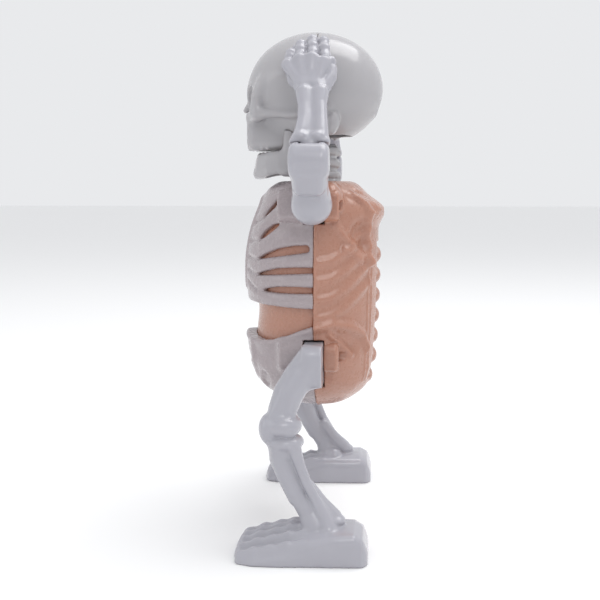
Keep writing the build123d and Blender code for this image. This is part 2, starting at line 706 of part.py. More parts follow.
def make_verge():
    """Rocking verge that lets the escape wheel past one tooth at a time."""
    y, z = VERGE
    with BuildPart() as verge:
        with BuildSketch(x_axis_plane(-1.1, y, z)):
            with BuildLine():
                Polyline((-3.1, 2.9), (-2.6, 2.9), (-1.0, 1.2), (1.0, 1.2), (2.6, 2.9), (3.1, 2.9),
                         (1.4, -1.6), (-1.4, -1.6), close=True)
            make_face()
        extrude(amount=1.2)
        add(rod_x(y, z, SHAFT_R, -PLATE_OUT, PLATE_OUT))
    return verge.part


def make_motor_plate(side):
    """One side plate of the motor, with a bearing hole for each shaft and one for each pillar."""
    low, high = min(side * PLATE_IN, side * PLATE_OUT), max(side * PLATE_IN, side * PLATE_OUT)
    outline = [(-4.3, PLATE_LOW_Z), (4.6, PLATE_LOW_Z), (PLATE_REAR_Y, 35.5), (PLATE_REAR_Y, 54.5),
               (6.4, PLATE_HIGH_Z), (-6.6, PLATE_HIGH_Z), (PLATE_FRONT_Y, 55.5), (PLATE_FRONT_Y, 35.5)]
    with BuildPart() as plate:
        with BuildSketch(x_axis_plane(low, 0, 0)):
            with BuildLine():
                Polyline(*outline, close=True)
            make_face()
            for y, z in (SECOND, CRANK, ESCAPE, VERGE):
                with Locations((y, z)):
                    Circle(SHAFT_R + 0.05, mode=Mode.SUBTRACT)
            with Locations(WINDING):
                Circle(0.85, mode=Mode.SUBTRACT)
            with Locations(*PILLARS):
                Circle(0.52, mode=Mode.SUBTRACT)
        extrude(amount=high - low)
    return plate.part


def make_motor_pillars():
    """Four stepped pillars that hold the plates apart."""
    with BuildPart() as pillars:
        for y, z in PILLARS:
            add(rod_x(y, z, 0.8, -PLATE_IN, PLATE_IN))
            add(rod_x(y, z, 0.5, -PLATE_OUT, PLATE_OUT))
    return pillars.part


def make_winding_knob():
    """Round winding knob with grip flutes, pressed on the arbor outside the right wall."""
    flutes, knob_r = 16, 4.6
    with BuildPart() as knob:
        with BuildSketch(x_axis_plane(KNOB_OUTER_X, *WINDING)):
            Circle(knob_r)
            with PolarLocations(knob_r + 0.25, flutes):
                Circle(0.55, mode=Mode.SUBTRACT)
        extrude(amount=KNOB_INNER_X - KNOB_OUTER_X)
        fillet(knob.faces().sort_by(Axis.X)[0].edges(), 0.3)
        add(rod_x(*WINDING, 1.6, KNOB_INNER_X, KNOB_INNER_X + 1.2))
        add(rod_x(*WINDING, 0.82, KNOB_OUTER_X + 0.58, -10), mode=Mode.SUBTRACT)
    return knob.part


# ---- write every piece ----------------------------------------------------------------------
write(make_torso_front(), "torso_front")
write(make_torso_rear(), "torso_rear")
write(make_rib_cage(), "rib_cage")
write(make_overlay(10.0, PELVIS_TOP_Z, PIVOTS[1]), "pelvis_front")
write(make_neck(), "neck")
write(make_case_screws(), "case_screws")

write(make_skull_half(REAR_SPACE), "skull_face")
write(make_skull_half(FRONT_SPACE), "skull_back")
write(make_jaw(), "jaw")

write_pair(make_upper_arm(), "upper_arm")
write_pair(make_elbow_pin(), "elbow_pin")
write_pair(make_forearm(), "forearm")
write_pair(make_link(), "side_link")
write_pair(make_leg(), "leg")

write(make_winding_arbor(), "winding_arbor")
write(make_great_wheel(), "great_wheel")
write(make_mainspring(), "mainspring")
write(make_second_wheel(), "second_wheel")
write(make_crank_shaft(), "crank_shaft")
write(make_crank(1), "left_crank")
write(make_crank(-1), "right_crank")
write(make_escape_wheel(), "escape_wheel")
write(make_verge(), "verge")
write(make_motor_plate(1), "motor_plate_left")
write(make_motor_plate(-1), "motor_plate_right")
write(make_motor_pillars(), "motor_pillars")
write(make_winding_knob(), "winding_knob")
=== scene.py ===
"""Looks for the clockwork dancing skeleton: its moulded bones, shells and plastics around the CAD frame.

Forms are shaped in millimetres on distance grids, then turned into smooth meshes in metres.
Heights are Z, the toy faces -Y and its left side is +X.
"""
import json
import math

import bpy
import numpy as np
import openvdb
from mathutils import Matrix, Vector


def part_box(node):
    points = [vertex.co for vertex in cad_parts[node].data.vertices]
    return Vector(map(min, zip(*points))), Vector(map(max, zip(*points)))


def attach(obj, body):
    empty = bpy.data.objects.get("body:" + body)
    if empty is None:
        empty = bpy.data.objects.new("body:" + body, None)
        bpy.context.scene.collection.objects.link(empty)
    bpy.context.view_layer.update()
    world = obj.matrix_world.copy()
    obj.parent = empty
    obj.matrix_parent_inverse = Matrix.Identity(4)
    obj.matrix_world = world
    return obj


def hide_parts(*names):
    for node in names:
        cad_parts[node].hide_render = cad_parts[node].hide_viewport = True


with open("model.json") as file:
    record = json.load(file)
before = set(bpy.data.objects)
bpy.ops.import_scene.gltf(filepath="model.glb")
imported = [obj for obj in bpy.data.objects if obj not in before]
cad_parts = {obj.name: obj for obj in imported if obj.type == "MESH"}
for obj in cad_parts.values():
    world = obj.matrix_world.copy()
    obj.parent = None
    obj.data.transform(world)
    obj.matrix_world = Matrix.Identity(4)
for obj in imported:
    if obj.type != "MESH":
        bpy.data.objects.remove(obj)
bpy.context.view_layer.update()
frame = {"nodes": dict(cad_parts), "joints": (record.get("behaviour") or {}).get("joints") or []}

MM = 0.001
FAR = 3.0                # distances beyond this many millimetres are not kept
STEP = 0.2
COARSE = 0.32            # grid step for the body front, which is smooth and mostly covered
JOINTS = {joint["name"]: joint for joint in frame["joints"]}


def joint_place(name):
    """A joint's anchor, in millimetres."""
    return np.array(JOINTS[name]["pos_m"]) / MM


def node_box(name):
    """Lowest and highest corner of a CAD node, in millimetres."""
    low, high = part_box(name)
    return np.array(low) / MM, np.array(high) / MM


SEAM = node_box("torso_rear")[0][1]
HIP = joint_place("leg_swing")
SHOULDER = joint_place("left_arm_swing")
ELBOW = joint_place("skull_sway")
LINK_LOW, LINK_HIGH = node_box("left_side_link")
LINK_X = (LINK_LOW[0] + LINK_HIGH[0]) / 2
SLAB = 1.8               # half thickness of a limb's root
OPENING = 2.0            # half width of the openings for the limbs
OPENING_HEIGHTS = ((62.0, 69.4), (29.6, 39.5))
HAIR = 0.01              # half of the gap that keeps two halves apart at a seam
POST_HOLE = 1.6
WINDING = joint_place("winding")[1:]
ARBOR_HOLE, BOSS_HOLE = 1.4, 1.9
PEG_HOLE = 0.5
OVERLAY, WALL, BELLY_INSET = 1.2, 1.2, 0.9


# ---- forms: each is (lowest corner, highest corner, distance function) -----------------------
def turned(x, z, degrees):
    """Coordinates in a frame turned about Y."""
    a = math.radians(degrees)
    return x * math.cos(a) + z * math.sin(a), z * math.cos(a) - x * math.sin(a)


def corner(u, v, r):
    """Distance to the edge between two faces at distances u and v, rounded by r."""
    outside = np.sqrt(np.maximum(u, 0) ** 2 + np.maximum(v, 0) ** 2)
    return outside + np.minimum(np.maximum(u, v), 0) - r


def fillet(a, b, soft):
    """What a fillet about as wide as soft fills in where two surfaces at distances a and b meet."""
    h = np.maximum(soft - abs(a - b), 0) / max(soft, 1e-6)
    return h * h * soft / 4


def ellipsoid(centre, radii, tilt=0.0):
    """An ellipsoid, tilted in the side view by some degrees (top towards the rear)."""
    c, r = np.array(centre, float), np.array(radii, float)
    a = math.radians(tilt)

    def distance(x, y, z):
        u, v, w = x - c[0], y - c[1], z - c[2]
        if tilt:
            v, w = v * math.cos(a) - w * math.sin(a), w * math.cos(a) + v * math.sin(a)
        k0 = np.sqrt((u / r[0]) ** 2 + (v / r[1]) ** 2 + (w / r[2]) ** 2) + 1e-6
        k1 = np.sqrt((u / r[0] ** 2) ** 2 + (v / r[1] ** 2) ** 2 + (w / r[2] ** 2) ** 2) + 1e-6
        return k0 * (k0 - 1) / k1
    reach = r if not tilt else np.array([r[0], max(r[1:]), max(r[1:])])
    return c - reach, c + reach, distance


def strand(points, flat=(1, 1, 1)):
    """Tapered capsules end to end through (x, y, z, radius) points, stretched along the axes by flat."""
    p = np.array(points, float)
    f = np.array(flat, float)
    reach = p[:, 3:] * f
    low, high = (p[:, :3] - reach).min(0), (p[:, :3] + reach).max(0)

    def distance(x, y, z):
        best = None
        for a, b in zip(p[:-1], p[1:]):
            d = (b[:3] - a[:3]) / f
            u, v, w = (x - a[0]) / f[0], (y - a[1]) / f[1], (z - a[2]) / f[2]
            t = np.clip((u * d[0] + v * d[1] + w * d[2]) / max(d @ d, 1e-9), 0, 1)
            r = a[3] + t * (b[3] - a[3])
            here = (np.sqrt((u - t * d[0]) ** 2 + (v - t * d[1]) ** 2 + (w - t * d[2]) ** 2) - r) * f.min()
            best = here if best is None else np.minimum(best, here)
        return best
    return low, high, distance


def box(low, high, r=0.0):
    """A box with rounded edges."""
    low, high = np.array(low, float), np.array(high, float)
    c, h = (low + high) / 2, (high - low) / 2 - r

    def distance(x, y, z):
        u, v, w = abs(x - c[0]) - h[0], abs(y - c[1]) - h[1], abs(z - c[2]) - h[2]
        outside = np.sqrt(np.maximum(u, 0) ** 2 + np.maximum(v, 0) ** 2 + np.maximum(w, 0) ** 2)
        return outside + np.minimum(np.maximum(np.maximum(u, v), w), 0) - r
    return low, high, distance


def rod_y(x0, z0, radius, y0, y1, r=0.0):
    """A rod along Y with rounded ends."""
    middle, half = (y0 + y1) / 2, (y1 - y0) / 2 - r

    def distance(x, y, z):
        u = np.sqrt((x - x0) ** 2 + (z - z0) ** 2) - (radius - r)
        return corner(u, abs(y - middle) - half, r)
    return np.array([x0 - radius, y0, z0 - radius]), np.array([x0 + radius, y1, z0 + radius]), distance


def rod_z(x0, y0, radius, z0, z1, r=0.0):
    """A rod along Z with rounded ends."""
    low, high, distance = rod_y(x0, y0, radius, z0, z1, r)
    return low[[0, 2, 1]], high[[0, 2, 1]], lambda x, y, z: distance(x, z, y)


def bar(a, b, half_y, half_t, r):
    """A rounded bar between two (x, z) points on the parting plane."""
    a, b = np.array(a, float), np.array(b, float)
    middle, length = (a + b) / 2, np.linalg.norm(b - a) / 2
    angle = math.degrees(math.atan2(b[1] - a[1], b[0] - a[0]))
    plain = box((-length, -half_y, -half_t), (length, half_y, half_t), r)[2]
    reach = length + half_t

    def distance(x, y, z):
        u, w = turned(x - middle[0], z - middle[1], angle)
        return plain(u, y - SEAM, w)
    low = np.array([middle[0] - reach, SEAM - half_y, middle[1] - reach])
    high = np.array([middle[0] + reach, SEAM + half_y, middle[1] + reach])
    return low, high, distance


def plate_y(x0, x1, z0, z1, corner_r, y0, y1, r):
    """A plate across Y with rounded edges, whose outline in X and Z has round corners."""
    cx, cz = (x0 + x1) / 2, (z0 + z1) / 2
    half_x, half_z = (x1 - x0) / 2 - corner_r, (z1 - z0) / 2 - corner_r
    middle, half = (y0 + y1) / 2, (y1 - y0) / 2 - r

    def distance(x, y, z):
        outline = corner(abs(x - cx) - half_x, abs(z - cz) - half_z, corner_r - r)
        return corner(outline, abs(y - middle) - half, r)
    return np.array([x0, y0, z0]), np.array([x1, y1, z1]), distance


def everywhere(distance):
    """A form without bounds."""
    return None, None, distance


def below(axis, limit):
    """Everything below a limit along axis 0, 1 or 2. Adding nothing fills out the whole grid's shape."""
    return everywhere(lambda *place: place[axis] - limit + 0 * sum(place))


def above(axis, limit):
    """Everything above a limit along one axis."""
    return everywhere(lambda *place: limit - place[axis] + 0 * sum(place))


def both(*forms):
    """The space inside all the given forms, which lies within the first one's bounds."""
    low, high, first = forms[0]

    def distance(x, y, z):
        out = first(x, y, z)
        for form in forms[1:]:
            out = np.maximum(out, form[2](x, y, z))
        return out
    return low, high, distance


def clear_of(form, gap):
    """The space that is further than a gap from a form."""
    return everywhere(lambda x, y, z: gap - form[2](x, y, z))


class Clay:
    """A distance grid in millimetres that forms are added to and cut from.

    A mirrored one holds X from 0 up, and its mesh gets both sides.
    """

    def __init__(self, low, high, step=STEP, mirrored=False):
        self.step, self.mirrored = step, mirrored
        low, high = np.array(low, float) - 2 * step, np.array(high, float) + 2 * step
        if mirrored:
            low[0] = 0.0
        self.low = low
        self.size = np.ceil((high - low) / step).astype(int) + 1
        self.axes = [low[i] + step * np.arange(self.size[i]) for i in range(3)]
        self.field = np.full(self.size, FAR, np.float32)

    def window(self, form, margin):
        """The part of the grid that a form can reach, as slices and open coordinate arrays."""
        low, high, distance = form
        if low is None:
            part = [slice(0, n) for n in self.size]
        else:
            first = np.floor((low - margin - self.low) / self.step).astype(int)
            last = np.ceil((high + margin - self.low) / self.step).astype(int) + 1
            part = [slice(max(f, 0), max(min(l, n), 0)) for f, l, n in zip(first, last, self.size)]
        x, y, z = (self.axes[i][part[i]] for i in range(3))
        return tuple(part), distance(x[:, None, None], y[None, :, None], z[None, None, :])

    def add(self, form, soft=0.5):
        """Joins a form on, with a fillet about as wide as soft."""
        part, d = self.window(form, soft + 3 * self.step)
        a = self.field[part]
        self.field[part] = np.minimum(np.minimum(a, d) - fillet(a, d, soft), FAR)
        return self

    def cut(self, form, soft=0.15):
        """Takes a form away, with an edge rounding about as wide as soft."""
        part, d = self.window(form, soft + 3 * self.step)
        a = self.field[part]
        self.field[part] = np.maximum(a, -d) + fillet(a, -d, soft)
        return self

    def keep(self, form, soft=0.15):
        """Cuts away what lies outside a form."""
        return self.cut(everywhere(lambda x, y, z: -form[2](x, y, z)), soft)

    def emboss(self, form, lift, width):
        """Raises the surface over a form by lift, fading out across width; a negative lift sinks it."""
        part, d = self.window(form, width)
        t = np.clip(0.5 - d / width, 0, 1)
        self.field[part] -= (lift * t * t * (3 - 2 * t)).astype(np.float32)
        return self

    def unfold(self):
        """Makes a mirrored grid whole, so that its two sides can differ."""
        self.field = np.concatenate([self.field[:0:-1], self.field])
        self.low = np.array([-self.step * (self.size[0] - 1), *self.low[1:]])
        self.size = np.array(self.field.shape)
        self.axes = [self.low[i] + self.step * np.arange(self.size[i]) for i in range(3)]
        self.mirrored = False

    def copy(self):
        """Another grid with the same forms in it."""
        other = object.__new__(Clay)
        other.__dict__.update(self.__dict__)
        other.field = self.field.copy()
        return other

    def mesh(self, name, flip=False):
        """The surface as a smooth Blender mesh in metres; flip mirrors it to the other side."""
        field, low = self.field, self.low.copy()
        if self.mirrored:
            field = np.concatenate([field[:0:-1], field])
            low[0] = -self.step * (self.size[0] - 1)
        grid = openvdb.FloatGrid(FAR)
        grid.copyFromArray(np.clip(field, -FAR, FAR).astype(np.float64))
        points, quads = grid.convertToQuads(isovalue=0)
        points = (points * self.step + low) * MM
        quads = quads[:, ::-1]
        if flip:
            points[:, 0] *= -1
            quads = quads[:, ::-1]
        mesh = bpy.data.meshes.new(name)
        mesh.vertices.add(len(points))
        mesh.vertices.foreach_set("co", points.astype(np.float32).ravel())
        mesh.loops.add(quads.size)
        mesh.loops.foreach_set("vertex_index", quads.astype(np.int32).ravel())
        mesh.polygons.add(len(quads))
        mesh.polygons.foreach_set("loop_start", np.arange(0, quads.size, 4, dtype=np.int32))
        mesh.update(calc_edges=True)
        mesh.shade_smooth()
        obj = bpy.data.objects.new(name, mesh)
        bpy.context.scene.collection.objects.link(obj)
        return obj


# ---- plastics and metals ---------------------------------------------------------------------
def new_material(name):
    """A material with its node tree, its main shader and its texture place."""
    mat = bpy.data.materials.new(name)
    mat.use_nodes = True
    tree = mat.node_tree
    return mat, tree, tree.nodes["Principled BSDF"], tree.nodes.new("ShaderNodeTexCoord")


def noise(tree, place, scale, detail):
    """A noise pattern that stays with the object; scale is per metre."""
    node = tree.nodes.new("ShaderNodeTexNoise")
    node.inputs["Scale"].default_value = scale
    node.inputs["Detail"].default_value = detail
    tree.links.new(place.outputs["Object"], node.inputs["Vector"])
    return node.outputs["Fac"]


def spread_roughness(tree, shader, pattern, low, high):
    """Lets a pattern move the shader's roughness between two values."""
    spread = tree.nodes.new("ShaderNodeMapRange")
    spread.inputs["To Min"].default_value = low
    spread.inputs["To Max"].default_value = high
    tree.links.new(pattern, spread.inputs["Value"])
    tree.links.new(spread.outputs["Result"], shader.inputs["Roughness"])


MOTTLE = 0.05            # share by which the base colour wanders
RIPPLE = 0.04            # strength of the sink marks
PAINTED_SHADE_REACH = 0.0022   # metres within which nearby surfaces darken the colour as painted shade


def plastic(name, colour, crevice_shade_colour, roughness, glow, coat=0.3):
    """Moulded plastic: light spreads a little under the skin, and painted shade darkens the colour in
    crevices.
    """
    mat, tree, shader, place = new_material(name)
    nodes, links = tree.nodes, tree.links

    tone = nodes.new("ShaderNodeMix")
    tone.data_type = "RGBA"
    tone.inputs[6].default_value = (*[c * (1 - MOTTLE) for c in colour], 1)
    tone.inputs[7].default_value = (*[min(c * (1 + MOTTLE), 1) for c in colour], 1)
    links.new(noise(tree, place, 130, 3), tone.inputs[0])

    # painted shade: ambient occlusion blends the base colour towards the darker crevice shade colour in
    # corners, creases and recesses
    shade_occlusion = nodes.new("ShaderNodeAmbientOcclusion")
    shade_occlusion.samples = 12
    shade_occlusion.inputs["Distance"].default_value = PAINTED_SHADE_REACH
    hollow = nodes.new("ShaderNodeMapRange")
    hollow.inputs["From Min"].default_value = 0.1
    hollow.inputs["From Max"].default_value = 0.6
    shade = nodes.new("ShaderNodeMix")
    shade.data_type = "RGBA"
    shade.inputs[6].default_value = (*crevice_shade_colour, 1)
    links.new(shade_occlusion.outputs["AO"], hollow.inputs["Value"])
    links.new(hollow.outputs["Result"], shade.inputs[0])
    links.new(tone.outputs[2], shade.inputs[7])
    links.new(shade.outputs[2], shader.inputs["Base Color"])

    spread_roughness(tree, shader, noise(tree, place, 900, 2), roughness - 0.06, roughness + 0.08)

    bump = nodes.new("ShaderNodeBump")
    bump.inputs["Strength"].default_value = RIPPLE
    bump.inputs["Distance"].default_value = 0.0002
    links.new(noise(tree, place, 330, 2), bump.inputs["Height"])
    links.new(bump.outputs["Normal"], shader.inputs["Normal"])

    shader.inputs["Subsurface Weight"].default_value = glow
    shader.inputs["Subsurface Radius"].default_value = (1.0, 0.9, 0.85)
    shader.inputs["Subsurface Scale"].default_value = 0.0008
    shader.inputs["Coat Weight"].default_value = coat
    shader.inputs["Coat Roughness"].default_value = 0.12
    shader.inputs["IOR"].default_value = 1.5
    return mat


def metal(name, colour, roughness):
    """Drawn or cut steel with fine scratches."""
    mat, tree, shader, place = new_material(name)
    shader.inputs["Base Color"].default_value = (*colour, 1)
    shader.inputs["Metallic"].default_value = 1.0
    spread_roughness(tree, shader, noise(tree, place, 1800, 4), roughness - 0.08, roughness + 0.1)
    return mat


# Each plastic: colour, painted shade colour for crevices, roughness, share of light that goes under the
# skin.
PEACH = plastic("peach_body", (0.42, 0.21, 0.148), (0.40, 0.15, 0.09), 0.27, 0.45)
BONE = plastic("bone_front", (0.36, 0.31, 0.322), (0.32, 0.20, 0.17), 0.26, 0.35)
SKULL = plastic("milky_skull", (0.405, 0.395, 0.41), (0.29, 0.26, 0.25), 0.22, 0.55)
LIMB = plastic("cool_white_limb", (0.395, 0.39, 0.43), (0.28, 0.27, 0.30), 0.2, 0.35)
MOTOR = plastic("motor_case", (0.42, 0.42, 0.40), (0.30, 0.30, 0.29), 0.4, 0.1, coat=0.1)
GEAR = plastic("gear_acetal", (0.50, 0.48, 0.42), (0.34, 0.32, 0.27), 0.35, 0.2, coat=0.1)
STEEL = metal("bright_steel", (0.62, 0.62, 0.63), 0.28)
SPRING = metal("blued_spring", (0.30, 0.32, 0.38), 0.35)


def dress(obj, mat):
    """Gives a piece one material."""
    obj.data.materials.clear()
    obj.data.materials.append(mat)


def place_piece(clay, name, body, node, mat, flip=False):
    """Turns clay into a piece that rides on a body in place of its CAD node."""
    obj = clay.mesh(name, flip)
    dress(obj, mat)
    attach(obj, body)
    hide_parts(node)


# ---- torso -----------------------------------------------------------------------------------
# The outline at each height: z, half width, depth in front of the seam, depth behind it.
TORSO = np.array([
    (24.3, 4.6, 5.0, 5.4), (27.5, 9.6, 10.9, 9.6), (32.0, 13.2, 13.5, 11.4), (38.0, 14.6, 14.9, 12.0),
    (44.0, 15.0, 14.5, 12.3), (50.0, 15.2, 14.9, 12.4), (56.0, 15.0, 14.7, 12.5), (61.0, 14.4, 13.7, 12.4),
    (65.0, 13.5, 12.2, 13.4), (68.0, 12.0, 10.9, 9.8), (70.3, 9.0, 8.6, 7.6),
])
TORSO_BOTTOM, TORSO_TOP = TORSO[0, 0], TORSO[-1, 0]
SHELL_REAR = node_box("torso_rear")[1][1]
NECK_Y, NECK_R = 2.2, 3.4
NECK_HOLE = rod_z(0, NECK_Y, NECK_R + 0.05, 66, 73)


def torso_at(z):
    """Half width, front depth and rear depth at a height, by cubic pieces through the table."""
    t = TORSO[:, 0]
    z = np.clip(z, t[0], t[-1])
    i = np.clip(np.searchsorted(t, z) - 1, 0, len(t) - 2)
    h = t[i + 1] - t[i]
    s = (z - t[i]) / h
    out = []
    for column in TORSO.T[1:]:
        slope = np.gradient(column, t)
        out.append((1 + 2 * s) * (1 - s) ** 2 * column[i] + s * (1 - s) ** 2 * h * slope[i]
                   + s * s * (3 - 2 * s) * column[i + 1] + s * s * (s - 1) * h * slope[i + 1])
    return out


def torso_form(side_in=0.0, front_in=0.0, rear_in=0.0, end_soft=1.4):
    """The torso drawn in by the given amounts."""
    def distance(x, y, z):
        width, front, rear = torso_at(z)
        a = np.maximum(width - side_in, 0.5)
        b = np.where(y < SEAM, np.maximum(front - front_in, 0.5), np.maximum(rear - rear_in, 0.5))
        v = y - SEAM
        q = np.sqrt((x / a) ** 2 + (v / b) ** 2) + 1e-6
        side = q * (q - 1) / (np.sqrt((x / a ** 2) ** 2 + (v / b ** 2) ** 2) + 1e-6)
        side = np.clip(side, -FAR, FAR)
        ends = np.maximum(z - (TORSO_TOP - side_in), (TORSO_BOTTOM + side_in) - z)
        return np.maximum(side, ends) + fillet(side, ends, end_soft)
    return everywhere(distance)


def around(points, reach=15.0):
    """A band over the torso's skin through (angle, z, half width) points.

    0 degrees is the side, 90 the middle of the back and -90 the middle of the front.
    """
    p = np.array(points, float)
    p[:, 0] = np.radians(p[:, 0]) * reach

    def distance(x, y, z):
        width, front, rear = torso_at(z)
        depth = np.where(y < SEAM, front, rear)
        s = np.arctan2((y - SEAM) / depth, abs(x) / width) * reach + 0 * z
        best = None
        for a, b in zip(p[:-1], p[1:]):
            d = b[:2] - a[:2]
            t = np.clip(((s - a[0]) * d[0] + (z - a[1]) * d[1]) / max(d @ d, 1e-9), 0, 1)
            r = a[2] + t * (b[2] - a[2])
            here = np.sqrt((s - a[0] - t * d[0]) ** 2 + (z - a[1] - t * d[1]) ** 2) - r
            best = here if best is None else np.minimum(best, here)
        return best
    return everywhere(distance)


# Shoulder and hip: the cap's X and Z, its radius, and the post's X.
PIVOTS = [(SHOULDER[0] - 0.9, SHOULDER[2], 3.1, SHOULDER[0]), (HIP[0] - 0.9, HIP[2], 3.0, HIP[0])]
CAP_INNER_X = 10.3
BELLY_STEP = 46.4        # height at which the body front steps in below the ribs


def limb_openings(clay):
    """Cuts the rectangular openings for the arm and the leg."""
    for z0, z1 in OPENING_HEIGHTS:
        clay.cut(box((9, SEAM - OPENING, z0), (22, SEAM + OPENING, z1)), 0.1)


def cap_form(x0, z0, radius, y0, y1):
    """A cap with round corners over a pivot, flat towards the middle of the body."""
    block = plate_y(x0 - radius, x0 + radius + 0.15, z0 - radius, z0 + radius, 1.9, y0, y1, 0.8)
    return both(block, above(0, CAP_INNER_X))


def bore_for_winding(clay, radius):
    """The hole for the winding arbor, in the right side only."""
    clay.unfold()
    clay.cut(strand([(-20, *WINDING, radius), (-11, *WINDING, radius)]), 0.05)


def torso_grid(step=STEP):
    """An empty grid round the torso."""
    return Clay((0, SEAM - 15.4, 24.0), (15.8, 14.6, 70.6), step, mirrored=True)


def make_rear_shell():
    """The rear half of the body, with shoulder blades, ribs, hip bones and spine in relief."""
    clay = torso_grid()
    clay.add(torso_form(), 0)
    # seam lip
    clay.emboss(box((0, SEAM - 1, 20), (20, SEAM + 0.7, 72)), 0.16, 0.5)
    # shoulder blades: inner edge, outer edge, hollow between them, and the knobs at the lower corner
    clay.emboss(around([(44, 60.0, 2.2), (50, 57.5, 1.6)]), -0.8, 3.0)
    clay.emboss(around([(46, 67.5, 0.9), (52, 63.5, 0.9), (56, 58.5, 0.8), (57, 54.6, 0.9)]), 0.8, 1.6)
    clay.emboss(around([(57, 54.6, 0.9), (43, 56.6, 0.7), (30, 59.2, 0.6), (19, 62.0, 0.5)]), 0.65, 1.6)
    clay.emboss(around([(28, 57.4, 0.5), (35, 56.6, 0.6)]), 0.55, 1.2)
    clay.emboss(around([(39, 55.8, 0.5), (46, 54.7, 0.6)]), 0.6, 1.2)
    # clavicle and top edge of the blade
    clay.emboss(around([(14, 69.2, 0.5), (34, 68.6, 0.8), (56, 66.2, 0.9), (68, 64.9, 0.6)]), 0.45, 1.6)
    clay.add(ellipsoid((12.4, SEAM + 3.6, 67.0), (3.2, 2.0, 3.2), -20), 0.9)
    for angle, z in ((60, 68.6), (68, 66.2), (58, 64.2)):
        clay.emboss(around([(angle - 5, z, 0.3), (angle + 5, z - 0.4, 0.4)]), 0.35, 1.0)
    # ribs, rising towards the spine
    for z in (56.2, 52.6, 49.0, 45.4):
        clay.emboss(around([(5, z - 1.6, 0.7), (16, z - 1.2, 0.8), (30, z + 0.6, 0.8), (44, z + 3.0, 0.8),
                            (58, z + 5.0, 0.7)]), 0.45, 1.6)
    # hip bones: crest, hollow under it, slanting ridge
    clay.emboss(around([(24, 39.2, 1.5), (38, 37.8, 1.6)]), -0.75, 3.0)
    clay.emboss(around([(2, 42.0, 0.7), (18, 42.6, 0.9), (36, 41.9, 0.9), (50, 40.2, 0.8), (58, 37.0, 0.6)]),
                1.05, 1.8)
    clay.emboss(around([(15, 40.6, 0.5), (27, 38.6, 0.7), (38, 36.4, 0.6)]), 0.8, 1.5)
    clay.emboss(around([(20, 31.2, 1.0), (45, 29.6, 1.6), (62, 32.0, 1.4)]), 0.3, 3.0)
    # straight edges beside the spine, the channel it stands in, and its bones
    for angle, lift in ((57, 0.3), (63, 0.26)):
        clay.emboss(around([(angle, 53.0, 0.2), (angle, 30.0, 0.2)]), lift, 0.7)
    clay.emboss(box((-1, SEAM + 8, 30.0), (3.6, 20, 58.0)), -0.5, 0.6)
    for level in range(7):
        z = 55.4 - 4.2 * level
        y = SEAM + float(torso_at(np.array([z]))[2][0])
        clay.add(ellipsoid((0, y - 1.0, z), (2.0, 1.4, 1.7)), 0.4)
        clay.add(strand([(0, y - 0.7, z + 0.3, 0.75), (3.2, y - 0.9, z + 0.8, 0.5)]), 0.3)
        clay.add(ellipsoid((0, y - 0.8, z - 0.4), (0.75, 0.95, 1.2)), 0.4)
    clay.keep(above(1, SEAM), 0.02)
    clay.keep(below(1, SHELL_REAR), 0.02)
    clay.cut(torso_form(OVERLAY + WALL, OVERLAY + WALL, WALL), 0.1)
    clay.cut(NECK_HOLE, 0.1)
    limb_openings(clay)
    for x, z, cap, post in PIVOTS:
        clay.add(cap_form(x, z, cap, SEAM + OPENING - 1.0, SEAM + 4.9), 0.05)
        clay.cut(box((CAP_INNER_X, SEAM - OPENING, z - 3.4), (22, SEAM + OPENING, z + 3.3)), 0.05)
        clay.cut(rod_y(post, z, 1.05, SEAM + 3.6, 20), 0.2)
        clay.cut(rod_y(post, z, 0.75, SEAM, 20), 0.1)
    return clay


def make_body_front():
    """The front half of the body: close behind the ribs, a little flatter at the belly."""
    clay = torso_grid(COARSE)

    def skin(inset):
        chest = torso_form(OVERLAY + inset, OVERLAY + inset)[2]
        belly = torso_form(OVERLAY + inset, OVERLAY + BELLY_INSET + inset)[2]

        def distance(x, y, z):
            blend = np.clip((z - BELLY_STEP) / 0.8, 0, 1)
            return blend * chest(x, y, z) + (1 - blend) * belly(x, y, z)
        return everywhere(distance)
    clay.add(skin(0.02), 0)
    clay.cut(skin(0.92), 0.1)
    clay.keep(below(1, SEAM - HAIR), 0.02)
    limb_openings(clay)
    for x, z, cap, post in PIVOTS:
        clay.add(rod_y(x, z, cap - 0.9, SEAM - 6.0, SEAM - OPENING, 0.1), 0.05)
        clay.add(rod_y(post, z, 1.5, SEAM - 5.0, SEAM + OPENING), 0.05)
        clay.cut(rod_y(post, z, 0.62, SEAM - 3.2, SEAM + 3), 0.05)
    clay.cut(NECK_HOLE, 0.1)
    bore_for_winding(clay, ARBOR_HOLE)
    return clay


def white_skin():
    """The front overlay's outer skin, before ribs or pelvis are shaped in it."""
    clay = torso_grid()
    clay.add(torso_form(), 0)
    return clay


def finish_overlay(clay, pivot):
    """Cuts a front overlay free of the body inside it and gives it its caps."""
    x, z, cap, post = pivot
    clay.keep(below(1, SEAM - HAIR), 0.02)
    clay.add(cap_form(x, z, cap, SEAM - 6.9, SEAM - OPENING + 1.5), 1.5)
    clay.cut(torso_form(OVERLAY, OVERLAY + BELLY_INSET, OVERLAY), 0.1)
    limb_openings(clay)
    clay.cut(rod_y(x, z, cap - 0.85, SEAM - 6.05, SEAM), 0.1)
    clay.cut(NECK_HOLE, 0.1)


RIB_SLOTS = [   # through the chest moulding: angle, height and half width along each slot
    [(-34, 67.6, 0.15), (-40, 66.2, 0.55), (-50, 64.3, 0.45), (-55, 63.2, 0.15)],
    [(-31, 62.0, 0.15), (-38, 61.2, 0.55), (-47, 59.9, 0.6), (-53, 58.9, 0.25)],
    [(-6, 57.2, 0.7), (-15, 57.0, 0.8), (-30, 56.4, 0.75), (-46, 55.4, 0.3), (-52, 54.9, 0.1)],
    [(1, 53.1, 0.5), (-14, 53.0, 0.62), (-30, 52.7, 0.6), (-46, 52.1, 0.3), (-53, 51.8, 0.1)],
    [(1, 49.2, 0.55), (-14, 49.2, 0.65), (-30, 49.1, 0.6), (-41, 48.9, 0.3), (-44, 48.8, 0.15)],
]


